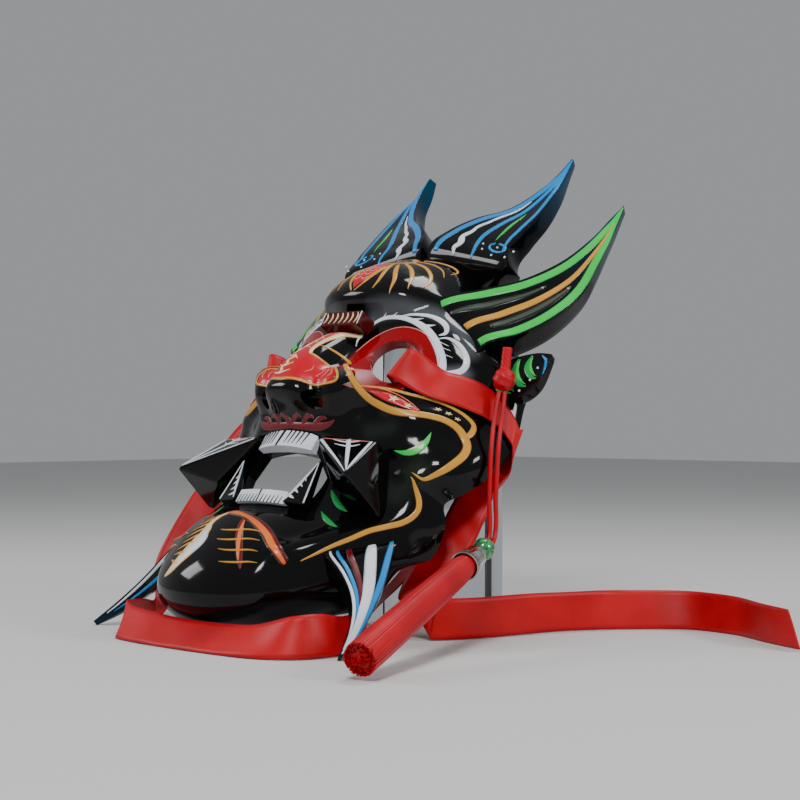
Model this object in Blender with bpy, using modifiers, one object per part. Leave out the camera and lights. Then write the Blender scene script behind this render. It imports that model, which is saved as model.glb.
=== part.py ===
"""Carved and lacquered demon mask leaning on a clear block, with its ribbons and ear tassel."""
from collections import namedtuple
from math import cos, pi, radians, sin

import bmesh
import bpy
import numpy as np
from mathutils import Vector

MM = 0.001
GAP = 0.3
SEAT_GAP = 0.5
FACE_LEAN = radians(35)
CHIN_TO_BLOCK = 176.5
WALL = 6.0
RIM_WALL = 5.0
AROUND_STEPS = 34
HEIGHT_STEPS = 38

EYE_ACROSS = 37.0
EYE_FORWARD = -17.0
EYE_UP = 178.0
EYE_FRONT_RADIUS = 19.5
EYE_HOLE_RADIUS = 12.5
EYE_TURN = radians(28)
NOSTRIL_ACROSS = 18.0
NOSTRIL_UP = 143.5
NOSTRIL_RADIUS = 5.0
MOUTH_HALF = 27.0
MOUTH_LOW = 88.0
MOUTH_HIGH = 121.0

BLOCK_WIDTH = 30.0
BLOCK_DEPTH = 93.0
BLOCK_HEIGHT = 154.5
RIBBON_THICK = 1.0
CORD_DIAMETER = 2.4
BEAD_DIAMETER = 11.0
TASSEL_DIAMETER = 15.0

Section = namedtuple("Section", "mid_up mid_fwd half rim_up rim_fwd flat")
FACE_SECTIONS = [
    Section(33, -36, 32, 50, -50, 1.0),
    Section(24, -17, 44, 52, -52, 1.0),
    Section(25, 0, 54, 57, -53, 1.0),
    Section(34, 5, 62, 66, -53, 1.1),
    Section(48, 4, 68, 78, -52, 1.2),
    Section(64, 0, 73, 85, -56, 1.2),
    Section(77, -5, 76, 90, -60, 1.2),
    Section(87, -11, 78, 97, -60, 1.2),
    Section(104, -14, 80, 108, -56, 1.3),
    Section(119, -11, 79, 116, -51, 1.4),
    Section(129, -9, 85, 124, -54, 1.5),
    Section(141, -5, 89, 137, -60, 1.5),
    Section(153, -4, 90, 150, -64, 1.6),
    Section(168, -6, 89, 165, -67, 1.6),
    Section(186, -10, 86, 182, -66, 1.4),
    Section(198, -11, 84, 193, -66, 1.2),
    Section(208, -9, 78, 201, -67, 1.1),
    Section(221, -9, 66, 212, -68, 1.4),
    Section(238, -16, 58, 228, -71, 1.5),
    Section(256, -28, 53, 244, -75, 1.3),
    Section(268, -41, 48, 256, -79, 1.0),
    Section(273, -60, 44, 264, -83, 1.0),
]

Blade = namedtuple("Blade", "upper lower thick")
CROWN_HORN = [
    Blade((3, -38, 250), (44, -52, 242), 15),
    Blade((3, -29, 266), (60, -35, 251), 16),
    Blade((9, -31, 278), (58, -34, 266), 15),
    Blade((21, -35, 289), (59, -37, 278), 14),
    Blade((36, -41, 299), (60, -41, 292), 12),
    Blade((47, -45, 314), (59, -45, 308), 10),
    Blade((52, -48, 328), (57, -49, 323), 8),
    Blade((54, -50, 340), (55.5, -50.5, 339), 5),
]
TEMPLE_HORN = [
    Blade((26, -24, 206), (60, -40, 186), 14),
    Blade((40, -21, 221), (74, -35, 201), 15),
    Blade((54, -32, 235), (85, -43, 213), 16),
    Blade((69, -41, 247), (94, -50, 228), 15),
    Blade((80, -51, 266), (98, -57, 248), 13),
    Blade((86, -58, 286), (97, -60, 270), 11),
    Blade((88, -63, 304), (94, -64, 293), 8),
    Blade((90, -66, 316), (91, -66, 314), 5),
]
EAR = [
    Blade((58, -56, 188), (64, -58, 180), 9),
    Blade((69, -48, 192), (77, -50, 183), 10),
    Blade((81, -48, 201), (91, -52, 181), 9),
    Blade((93, -50, 206), (101, -52, 188), 7),
    Blade((103, -51, 206), (104, -51, 203), 4),
]
JAW_TUSK = [
    Blade((46, -26, 73), (60, -45, 95), 10),
    Blade((56, -17, 65), (70, -41, 89), 12),
    Blade((67, -20, 58), (76, -38, 77), 11),
    Blade((76, -23, 50), (82, -35, 63), 10),
    Blade((83, -24, 41), (87, -31, 46), 8),
    Blade((89, -22.5, 29), (91.5, -26, 29), 6),
    Blade((93.5, -19, 16), (94.5, -20, 16), 3),
]


def on_face(across, forward, up):
    """Face measure in mm to a point under the leaning empty."""
    return Vector((across, -forward, up)) * MM


def ramp(low, high, value):
    share = min(max((value - low) / (high - low), 0.0), 1.0)
    return share * share * (3 - 2 * share)


def curve_through(rows, position):
    """Smooth value of a table of equal-length rows at a fractional row number."""
    table = np.array(rows, dtype=float)
    row = min(int(position), len(table) - 2)
    share = position - row
    before = table[max(row - 1, 0)]
    start = table[row]
    end = table[row + 1]
    after = table[min(row + 2, len(table) - 1)]
    return 0.5 * (2 * start + (end - before) * share
                  + (2 * before - 5 * start + 4 * end - after) * share ** 2
                  + (3 * start - before - 3 * end + after) * share ** 3)


def bump(across, up, centre_across, centre_up, radius_across, radius_up):
    distance = ((across - centre_across) / radius_across) ** 2 + ((up - centre_up) / radius_up) ** 2
    return ramp(1.0, 0.0, distance)


NOSE_HEIGHT = [(137, 0), (143, 19), (150, 18), (158, 17), (168, 14), (182, 9), (187, 8), (191, 0)]
BROW_EDGE = [(0, 205), (16, 206), (31, 210), (42, 218), (51, 213), (61, 205), (75, 194), (90, 184)]
CHEEK_CREST = [(22, 168), (34, 157), (45, 150), (59, 147), (68, 151), (76, 154), (84, 147), (83, 134),
               (71, 122)]
JAW_CREST = [(40, 59), (49, 70), (56, 82), (65, 91), (70, 101), (71, 112), (68, 119)]


def nose_relief(across, up):
    ups, heights = zip(*NOSE_HEIGHT)
    height = float(np.interp(up, ups, heights))
    tip = ramp(190, 146, up)
    ridge = height * ramp(13 + 10 * tip, 5 + 3 * tip, across)
    wing = 15 * bump(across, up, 25, 152, 15, 14)
    return max(ridge, wing)


def crest(across, up, line, width):
    """Rounded ridge along an outline drawn on the front view, 1 on the line and 0 beyond the width."""
    nearest = width
    for start, end in zip(line, line[1:]):
        run = end[0] - start[0]
        rise = end[1] - start[1]
        share = ((across - start[0]) * run + (up - start[1]) * rise) / (run * run + rise * rise)
        share = min(max(share, 0.0), 1.0)
        gap = ((across - start[0] - run * share) ** 2 + (up - start[1] - rise * share) ** 2) ** 0.5
        nearest = min(nearest, gap)
    return ramp(width, 0.0, nearest)


def relief(across, up):
    """Carved height in mm above the plain oval of the face."""
    across = abs(across)
    nose = nose_relief(across, up)
    over_brow = up - float(np.interp(across, *zip(*BROW_EDGE)))
    brow = 9 * ramp(-2, 5, over_brow) * ramp(262, 216, up) * ramp(60, 20, across)
    temple = 3 * crest(across, up, BROW_EDGE[3:], 9)
    cheek = 5 * bump(across, up, 58, 160, 32, 20) + 4 * crest(across, up, CHEEK_CREST, 9)
    pouch = 4 * bump(across, up, 66, 136, 16, 14)
    rear_cheek = 4 * bump(across, up, 86, 132, 18, 26)
    lip = 4 * ramp(124, 130, up) * ramp(146, 140, up) * ramp(46, 24, across)
    chin_edge = 80 - 0.5 * across
    chin = 5 * ramp(46, 34, across) * ramp(chin_edge + 2, chin_edge - 6, up) * ramp(12, 26, up)
    jaw = 4 * crest(across, up, JAW_CREST, 10)
    eye_ring = 2.5 * bump(across, up, EYE_ACROSS + 2, EYE_UP, 30, 28)
    return nose + brow + temple + cheek + pouch + rear_cheek + lip + chin + jaw + eye_ring


def face_point(turn, position, lift=0.0):
    """Outer surface at an angle off the midline and a fractional section number."""
    mid_up, mid_fwd, half, rim_up, rim_fwd, flat = curve_through(FACE_SECTIONS, position)
    level = max(cos(turn), 0.0)
    across = half * sin(turn)
    forward = rim_fwd + (mid_fwd - rim_fwd) * level ** flat
    up = rim_up + (mid_up - rim_up) * level
    height = relief(across, up) * ramp(0.0, 0.35, level) + lift
    normal = midline_normal(position)
    return (across + height * sin(turn) * 0.6,
            forward + height * level * normal[0],
            up + height * level * normal[1])


def midline_normal(position):
    step = 0.2
    low = max(position - step, 0)
    high = min(position + step, len(FACE_SECTIONS) - 1)
    below = curve_through(FACE_SECTIONS, low)
    above = curve_through(FACE_SECTIONS, high)
    rise = above[0] - below[0]
    run = above[1] - below[1]
    length = (rise * rise + run * run) ** 0.5
    return rise / length, -run / length


def hollow_point(turn, position):
    """Inner surface, plain but for the room behind the nose."""
    mid_up, mid_fwd, half, rim_up, rim_fwd, flat = curve_through(FACE_SECTIONS, position)
    level = max(cos(turn), 0.0)
    normal = midline_normal(position)
    across = (half - RIM_WALL) * sin(turn)
    forward = rim_fwd + (mid_fwd - WALL * normal[0] - rim_fwd) * level ** flat
    up = rim_up + (mid_up - WALL * normal[1] - rim_up) * level
    room = 0.55 * nose_relief(abs(across), up)
    return across, forward + room, up


def face_grid(surface, **options):
    rows = []
    last = len(FACE_SECTIONS) - 1
    for high in range(HEIGHT_STEPS + 1):
        position = last * high / HEIGHT_STEPS
        row = []
        for step in range(AROUND_STEPS + 1):
            turn = pi * (step / AROUND_STEPS - 0.5)
            row.append(surface(turn, position, **options))
        rows.append(row)
    return rows


def add_grid(mesh, rows):
    return [[mesh.verts.new(on_face(*point)) for point in row] for row in rows]


def fill_between(mesh, first, second):
    for index in range(len(first) - 1):
        mesh.faces.new((first[index], first[index + 1], second[index + 1], second[index]))


def border(grid):
    """Vertices around a grid, in order, with the first one repeated at the end."""
    right = [row[-1] for row in grid[1:]]
    top = list(reversed(grid[-1][:-1]))
    left = [row[0] for row in reversed(grid[:-1])]
    return grid[0] + right + top + left


def make_object(name, mesh, material, collection, parent=None):
    bmesh.ops.recalc_face_normals(mesh, faces=mesh.faces)
    data = bpy.data.meshes.new(name)
    mesh.to_mesh(data)
    mesh.free()
    item = bpy.data.objects.new(name, data)
    collection.objects.link(item)
    item.parent = parent
    if material:
        data.materials.append(material)
    return item


def make_material(name, colour, roughness, metallic=0.0, see_through=0.0):
    material = bpy.data.materials.new(name)
    material.use_nodes = True
    shader = material.node_tree.nodes["Principled BSDF"]
    shader.inputs["Base Color"].default_value = (*colour, 1.0)
    shader.inputs["Roughness"].default_value = roughness
    shader.inputs["Metallic"].default_value = metallic
    shader.inputs["Transmission Weight"].default_value = see_through
    return material


def make_shell(collection, parent, material):
    mesh = bmesh.new()
    outside = add_grid(mesh, face_grid(face_point))
    inside = add_grid(mesh, face_grid(hollow_point))
    for grid in (outside, inside):
        for low, high in zip(grid, grid[1:]):
            fill_between(mesh, low, high)
    fill_between(mesh, border(outside), border(inside))
    bmesh.ops.triangulate(mesh, faces=mesh.faces, quad_method="FIXED")
    return make_object("mask_face", mesh, material, collection, parent)


def make_keep_out(collection, parent):
    """Solid of the whole head behind the carved surface, grown by the gap between pieces."""
    mesh = bmesh.new()
    outside = add_grid(mesh, face_grid(face_point))
    for low, high in zip(outside, outside[1:]):
        fill_between(mesh, low, high)
    centre = mesh.verts.new(on_face(0, -75, 150))
    edge = border(outside)
    for start, end in zip(edge, edge[1:]):
        mesh.faces.new((start, end, centre))
    bmesh.ops.triangulate(mesh, faces=mesh.faces, quad_method="FIXED")
    bmesh.ops.recalc_face_normals(mesh, faces=mesh.faces)
    mesh.normal_update()
    grown = [(vert, vert.co + vert.normal * SEAT_GAP * MM) for vert in mesh.verts if vert != centre]
    for vert, place in grown:
        vert.co = place
    return as_cutter(make_object("head_keep_out", mesh, None, collection, parent))


def as_cutter(item):
    item.hide_render = True
    item.display_type = "WIRE"
    return item


def cut(item, cutter, name):
    step = item.modifiers.new(name, "BOOLEAN")
    step.operation = "DIFFERENCE"
    step.object = cutter
    step.solver = "EXACT"


def cone_cutter(name, collection, parent, place, direction, near_radius, far_radius, depth, sides):
    mesh = bmesh.new()
    bmesh.ops.create_cone(mesh, cap_ends=True, segments=sides, depth=depth * MM,
                          radius1=far_radius * MM, radius2=near_radius * MM)
    item = as_cutter(make_object(name, mesh, None, collection, parent))
    item.location = on_face(*place)
    item.rotation_mode = "QUATERNION"
    item.rotation_quaternion = on_face(*direction).to_track_quat("Z", "Y")
    return item


def cut_eyes(shell, collection, parent):
    slope = (EYE_FRONT_RADIUS - EYE_HOLE_RADIUS) / 6
    for side, name in ((1, "eye_cutter_left"), (-1, "eye_cutter_right")):
        turn = EYE_TURN * side
        ahead = Vector((sin(turn), cos(turn), 0))
        centre = Vector((EYE_ACROSS * side, EYE_FORWARD, EYE_UP))
        funnel = cone_cutter(name, collection, parent, centre + ahead * 8, ahead,
                             EYE_HOLE_RADIUS + slope * 16, EYE_HOLE_RADIUS, 16, 28)
        hole = cone_cutter(name + "_through", collection, parent, centre - ahead * 12, ahead,
                           EYE_HOLE_RADIUS, EYE_HOLE_RADIUS, 26, 28)
        cut(shell, funnel, "eye_funnel")
        cut(shell, hole, "eye_hole")


def cut_nostrils(shell, collection, parent):
    for side, name in ((1, "nostril_cutter_left"), (-1, "nostril_cutter_right")):
        hole = cone_cutter(name, collection, parent,
                           (NOSTRIL_ACROSS * side, -2, NOSTRIL_UP), (0, 0.9, -0.42),
                           NOSTRIL_RADIUS, NOSTRIL_RADIUS, 60, 14)
        cut(shell, hole, "nostril")


def cut_mouth(shell, collection, parent):
    mesh = bmesh.new()
    outline = [(-MOUTH_HALF, MOUTH_LOW), (MOUTH_HALF, MOUTH_LOW),
               (MOUTH_HALF + 3, 0.6 * MOUTH_HIGH + 0.4 * MOUTH_LOW),
               (0.75 * MOUTH_HALF, MOUTH_HIGH - 2), (0, MOUTH_HIGH),
               (-0.75 * MOUTH_HALF, MOUTH_HIGH - 2),
               (-MOUTH_HALF - 3, 0.6 * MOUTH_HIGH + 0.4 * MOUTH_LOW)]
    front = [mesh.verts.new(on_face(across, 40, up)) for across, up in outline]
    back = [mesh.verts.new(on_face(across, -45, up)) for across, up in outline]
    mesh.faces.new(front)
    mesh.faces.new(back)
    fill_between(mesh, front + front[:1], back + back[:1])
    cut(shell, as_cutter(make_object("mouth_cutter", mesh, None, collection, parent)), "mouth")


def blade_rings(rows, steps, side):
    """Four-cornered rings along a flat-faced blade, its thickness set back from the face."""
    table = [(*row.upper, *row.lower, row.thick) for row in rows]
    rings = []
    count = steps * (len(rows) - 1)
    for step in range(count + 1):
        values = curve_through(table, step / steps)
        upper = Vector(values[0:3])
        lower = Vector(values[3:6])
        near = Vector(curve_through(table, max(step / steps - 0.5, 0))[0:6][:3])
        far = Vector(curve_through(table, min(step / steps + 0.5, len(rows) - 1))[0:6][:3])
        back = (far - near).cross(lower - upper).normalized() * values[6]
        if back.y > 0:
            back.negate()
        ring = [upper, lower, lower + back * 0.9, upper + back]
        rings.append([on_face(point.x * side, point.y, point.z) for point in ring])
    return rings


def loft(mesh, rings):
    layers = [[mesh.verts.new(point) for point in ring] for ring in rings]
    for low, high in zip(layers, layers[1:]):
        fill_between(mesh, low + low[:1], high + high[:1])
    mesh.faces.new(layers[0])
    mesh.faces.new(layers[-1])


def add_bevel(item, width, segments=1):
    step = item.modifiers.new("soft_edges", "BEVEL")
    step.width = width * MM
    step.segments = segments
    step.limit_method = "ANGLE"
    step.angle_limit = radians(35)


def make_blade(name, rows, side, keep_out, collection, parent, material, steps=2):
    mesh = bmesh.new()
    loft(mesh, blade_rings(rows, steps, side))
    item = make_object(name, mesh, material, collection, parent)
    add_bevel(item, 0.6)
    cut(item, keep_out, "seat_on_face")
    return item


def hull(name, points, keep_out, collection, parent, material, bevel):
    mesh = bmesh.new()
    for point in points:
        mesh.verts.new(on_face(*point))
    made = bmesh.ops.convex_hull(mesh, input=mesh.verts)
    bmesh.ops.delete(mesh, geom=made["geom_interior"], context="VERTS")
    item = make_object(name, mesh, material, collection, parent)
    add_bevel(item, bevel, 2)
    if keep_out:
        cut(item, keep_out, "seat_on_face")
    return item


def make_upper_tusk(name, side, *rest):
    corners = [(21, -7, 125), (64, 1, 99), (58, -13, 127), (65, -29, 94),
               (21, -20, 122), (54, -45, 124), (58, -45, 96), (44, -12, 99)]
    points = [(across * side, forward, up) for across, forward, up in corners]
    return hull(name, points, *rest, 1.2)


def make_fang(name, side, *rest):
    corners = [(18.7, -8, 87.5), (32, -10, 87.5), (32, -15, 87.5), (18.7, -14, 87.5),
               (28.5, -10, 113), (29.5, -12, 113)]
    points = [(across * side, forward, up) for across, forward, up in corners]
    return hull(name, points, *rest, 0.4)


def make_teeth(name, half, low, high, front, curl, keep_out, collection, parent, material):
    mesh = bmesh.new()
    rings = []
    back = front - curl - 4
    for step in range(13):
        across = half * (step / 6 - 1)
        face = front - curl * (across / half) ** 2
        rings.append([on_face(across, face, low), on_face(across, face, high),
                      on_face(across, back, high), on_face(across, back, low)])
    loft(mesh, rings)
    item = make_object(name, mesh, material, collection, parent)
    cut(item, keep_out, "seat_on_face")
    return item


def make_block(collection, material):
    mesh = bmesh.new()
    bmesh.ops.create_cube(mesh, size=1.0)
    bmesh.ops.scale(mesh, vec=(BLOCK_WIDTH * MM, BLOCK_DEPTH * MM, BLOCK_HEIGHT * MM),
                    verts=mesh.verts)
    bmesh.ops.translate(mesh, vec=(0, 0, BLOCK_HEIGHT * MM / 2), verts=mesh.verts)
    return make_object("display_block", mesh, material, collection)


Strap = namedtuple("Strap", "across back high wide_across wide_back wide_high width")
Wrap = namedtuple("Wrap", "turn upper lower")
EYE_PASS = [
    Strap(31, -44, 172, 0.40, 0.05, 0.90, 15.5),
    Strap(36, -34, 173.5, 0.40, 0.05, 0.90, 15.5),
    Strap(40.5, -24.5, 174.5, 0.40, 0.05, 0.90, 16),
    Strap(46, -11.5, 173, 0.40, 0.05, 0.90, 16.5),
    Strap(53, -12.2, 171.5, 0.30, 0.10, 0.94, 18),
]
TEMPLE_WRAP = [
    Wrap(43, 13.67, 12.55),
    Wrap(50, 13.78, 12.67),
    Wrap(57, 13.85, 12.80),
    Wrap(64, 13.83, 12.90),
    Wrap(71, 13.70, 12.88),
    Wrap(78, 13.50, 12.75),
    Wrap(85, 13.30, 12.60),
]
FAR_WRAPS = 5
LEFT_FALL = [
    Strap(88.5, 150.5, 94, -0.10, 0.55, 0.83, 18),
    Strap(82, 150.5, 86, -0.45, 0.40, 0.80, 18),
    Strap(78.5, 139, 77, -0.65, 0.10, 0.72, 19),
    Strap(77, 132, 67, -0.75, -0.10, 0.60, 20),
    Strap(75, 127, 58, -0.80, -0.20, 0.45, 20),
    Strap(73, 123.5, 50, -0.80, -0.20, 0.40, 20),
    Strap(71, 118, 42, -0.80, -0.20, 0.40, 20),
    Strap(69, 110, 33, -0.80, -0.25, 0.40, 20),
    Strap(68, 103, 24, -0.80, -0.30, 0.35, 20),
    Strap(68, 99, 15, -0.80, -0.30, 0.45, 20),
    Strap(71, 101, 9.6, -0.35, -0.20, 0.85, 20),
    Strap(79, 110, 9.6, 0.00, 0.10, 0.96, 20),
    Strap(86, 125, 9.8, 0.00, 0.15, 0.97, 20),
    Strap(91, 150, 10, -0.05, 0.10, 0.99, 20),
    Strap(99, 178, 10, 0.10, 0.15, 0.98, 20),
    Strap(114, 206, 10, -0.15, 0.20, 0.96, 20),
    Strap(137, 226, 10, -0.20, 0.20, 0.95, 20),
    Strap(166, 224, 10, -0.25, 0.25, 0.93, 20),
    Strap(194, 208, 10, -0.35, 0.25, 0.90, 20),
    Strap(218, 196, 10, -0.45, 0.20, 0.88, 20),
]
RIGHT_FALL = [
    Strap(-91.5, 143, 104.5, -0.15, 0.40, 0.90, 18),
    Strap(-97, 134, 98, -0.45, -0.05, 0.88, 19),
    Strap(-99, 125, 86, -0.62, -0.40, 0.67, 20),
    Strap(-99, 116, 73, -0.63, -0.55, 0.55, 20),
    Strap(-98, 102, 58, -0.63, -0.60, 0.49, 20),
    Strap(-96, 87, 41, -0.63, -0.50, 0.45, 20),
    Strap(-92, 72, 24, -0.65, -0.20, 0.40, 20),
    Strap(-86, 62, 10, -0.65, 0.25, 0.35, 20),
    Strap(-79, 52, 6.5, -0.60, 0.50, 0.42, 20),
    Strap(-70, 40, 7, -0.50, 0.50, 0.60, 20),
    Strap(-61, 27, 7.2, -0.45, 0.45, 0.70, 20),
    Strap(-53, 15, 7.2, -0.40, 0.45, 0.75, 20),
    Strap(-43, 8, 6.6, -0.20, 0.65, 0.68, 20),
    Strap(-26, 6, 6, 0.00, 0.76, 0.62, 20),
    Strap(-6, 5.5, 5.6, 0.03, 0.82, 0.56, 20),
    Strap(18, 5.5, 5.6, 0.05, 0.82, 0.56, 20),
    Strap(44, 6.5, 6, 0.05, 0.78, 0.60, 20),
    Strap(63, 8.5, 7.4, -0.05, 0.60, 0.76, 20),
    Strap(76, 15, 9.2, -0.20, 0.30, 0.93, 20),
    Strap(80, 28, 9.2, -0.30, 0.15, 0.90, 20),
    Strap(78, 43, 8.2, -0.55, 0.10, 0.75, 20),
    Strap(73, 59, 8, -0.50, 0.05, 0.75, 20),
    Strap(62, 72, 8.5, 0.10, -0.05, 0.85, 20),
    Strap(51, 84, 11, 0.70, -0.10, 0.60, 20),
    Strap(46, 99, 19, 0.90, -0.10, 0.42, 20),
    Strap(48, 113, 31, 0.93, -0.10, 0.35, 20),
    Strap(54, 126, 45, 0.93, -0.10, 0.33, 20),
    Strap(61, 136, 58, 0.93, -0.10, 0.30, 20),
]
STRAP_LIFT = 2.6


def turned_to_row(across, forward, up):
    """Face measure in mm to the row's axes in mm, with the chin tip as zero for the depth."""
    return Vector((across, -forward * cos(FACE_LEAN) + up * sin(FACE_LEAN),
                   forward * sin(FACE_LEAN) + up * cos(FACE_LEAN)))


def strap_rows(side, wraps, fall):
    """Centre, width direction and width along a ribbon, from behind the eye hole to its end."""
    rows = []
    for row in EYE_PASS:
        centre = turned_to_row(row.across * side, row.back, row.high)
        wide = turned_to_row(row.wide_across * side, row.wide_back, row.wide_high)
        rows.append((*centre, *wide, row.width))
    for wrap in TEMPLE_WRAP[:wraps]:
        turn = radians(wrap.turn) * side
        upper = turned_to_row(*face_point(turn, wrap.upper, STRAP_LIFT))
        lower = turned_to_row(*face_point(turn, wrap.lower, STRAP_LIFT))
        rows.append((*((upper + lower) / 2), *(upper - lower).normalized(), (upper - lower).length))
    return rows + [tuple(row) for row in fall]


def make_strap(name, rows, steps, collection, material):
    mesh = bmesh.new()
    edges = []
    count = steps * (len(rows) - 1)
    for step in range(count + 1):
        values = curve_through(rows, step / steps)
        centre = Vector(values[0:3]) - Vector((0, CHIN_TO_BLOCK, 0))
        wide = Vector(values[3:6]).normalized() * values[6] / 2
        centre.z = max(centre.z, abs(wide.z) + RIBBON_THICK / 2 + 0.02)
        edges.append([mesh.verts.new((centre + wide * share) * MM) for share in (-1, 0, 1)])
    for low, high in zip(edges, edges[1:]):
        fill_between(mesh, low, high)
    item = make_object(name, mesh, material, collection)
    wall = item.modifiers.new("cloth", "SOLIDIFY")
    wall.thickness = RIBBON_THICK * MM
    wall.offset = 0.0
    return item


Bend = namedtuple("Bend", "across back high apart_across apart_back")
CORD_ROUTE = [
    Bend(87.3, 140.6, 120.5, 1.00, 1.00),
    Bend(89.2, 136.6, 112, 1.25, 1.25),
    Bend(91.8, 131.6, 102, 1.25, 1.25),
    Bend(93.2, 128.6, 92, 1.20, 1.20),
    Bend(93.8, 127.0, 80, 1.15, 1.15),
    Bend(94.1, 126.0, 68, 1.10, 1.10),
    Bend(94.3, 126.1, 58, 1.15, 1.00),
    Bend(94.6, 125.2, 51.4, 1.25, 0.70),
    Bend(95.3, 123.2, 48.1, 1.30, 0.50),
    Bend(96.3, 120.3, 46.6, 1.35, 0.48),
]
BEAD_CENTRE = Vector((98.2, 115, 45))
TASSEL_FOOT = Vector((142, -9, 8.8))


def make_round(name, profile, sides, collection, material):
    """Turned piece from a profile of radius and height, standing on its own origin."""
    mesh = bmesh.new()
    points = [mesh.verts.new(Vector((radius, 0, height)) * MM) for radius, height in profile]
    for start, end in zip(points, points[1:]):
        mesh.edges.new((start, end))
    item = make_object(name, mesh, material, collection)
    turn = item.modifiers.new("turned", "SCREW")
    turn.steps = sides
    turn.render_steps = sides
    turn.use_normal_flip = True
    turn.use_merge_vertices = True
    turn.merge_threshold = 0.00005
    return item


def make_cord(name, route, diameter, collection, material):
    """Round cord as a curve read from a smooth line through its route."""
    length = sum((Vector(end) - Vector(start)).length for start, end in zip(route, route[1:]))
    count = int(length / (2.5 * diameter)) + 1
    line = bpy.data.curves.new(name, "CURVE")
    line.dimensions = "3D"
    line.bevel_depth = diameter / 2 * MM
    line.bevel_resolution = 2
    line.use_fill_caps = True
    spline = line.splines.new("POLY")
    spline.points.add(count)
    for step in range(count + 1):
        across, back, high = curve_through(route, step * (len(route) - 1) / count)
        place = Vector((across, back - CHIN_TO_BLOCK, high)) * MM
        spline.points[step].co = (*place, 1.0)
    line.materials.append(material)
    item = bpy.data.objects.new(name, line)
    collection.objects.link(item)
    return item


def stand_along(item, start, end):
    """Puts a turned piece's own height along the line between two points."""
    low = Vector((start[0], start[1] - CHIN_TO_BLOCK, start[2])) * MM
    high = Vector((end[0], end[1] - CHIN_TO_BLOCK, end[2])) * MM
    item.location = low
    item.rotation_mode = "QUATERNION"
    item.rotation_quaternion = (high - low).to_track_quat("Z", "Y")


def ball_profile(radius, low, steps):
    """Half circle from the bottom pole up, standing on the given height."""
    rows = []
    for step in range(steps + 1):
        turn = pi * step / steps
        rows.append((radius * sin(turn), low + radius - radius * cos(turn)))
    return rows


def make_tassel(collection, satin, jade, silver):
    axis = (TASSEL_FOOT - BEAD_CENTRE).normalized()
    cord_top = Vector(CORD_ROUTE[0][0:3])
    knot = make_round("tassel_knot", [(0, 0), (3.4, 0), (5.4, 2.6), (5.8, 5.8), (5.0, 9),
                                      (2.6, 10.8), (2.6, 21.5), (0, 21.5)], 14, collection, satin)
    stand_along(knot, cord_top + Vector((-0.5, 1.3, 2.5 * GAP)), cord_top + Vector((0.4, 3.6, 21)))
    for side, name in ((-1, "tassel_cord_inner"), (1, "tassel_cord_outer")):
        route = [(bend.across + side * bend.apart_across, bend.back + side * bend.apart_back, bend.high)
                 for bend in CORD_ROUTE]
        make_cord(name, route, CORD_DIAMETER, collection, satin)
    radius = BEAD_DIAMETER / 2
    bead = make_round("tassel_bead", ball_profile(radius, 0, 8), 14, collection, jade)
    stand_along(bead, BEAD_CENTRE - axis * radius, TASSEL_FOOT)
    cap_start = BEAD_CENTRE + axis * (radius + GAP)
    cap = make_round("tassel_cap", [(0, 0), (3.6, 0), (5.2, 3), (6.0, 7), (6.6, 11), (0, 11)],
                     14, collection, silver)
    stand_along(cap, cap_start, TASSEL_FOOT)
    skirt_start = cap_start + axis * (11 + GAP)
    length = (TASSEL_FOOT - skirt_start).length
    half = TASSEL_DIAMETER / 2
    skirt = make_round("tassel", [(0, 0), (half - 1.8, 0), (half - 0.9, 5), (half, length * 0.5),
                                  (half + 0.6, length), (0, length)], 14, collection, satin)
    stand_along(skirt, skirt_start, TASSEL_FOOT)


def clear_scene():
    for item in list(bpy.data.objects):
        bpy.data.objects.remove(item, do_unlink=True)


def new_collection(name):
    collection = bpy.data.collections.new(name)
    bpy.context.scene.collection.children.link(collection)
    return collection


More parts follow.
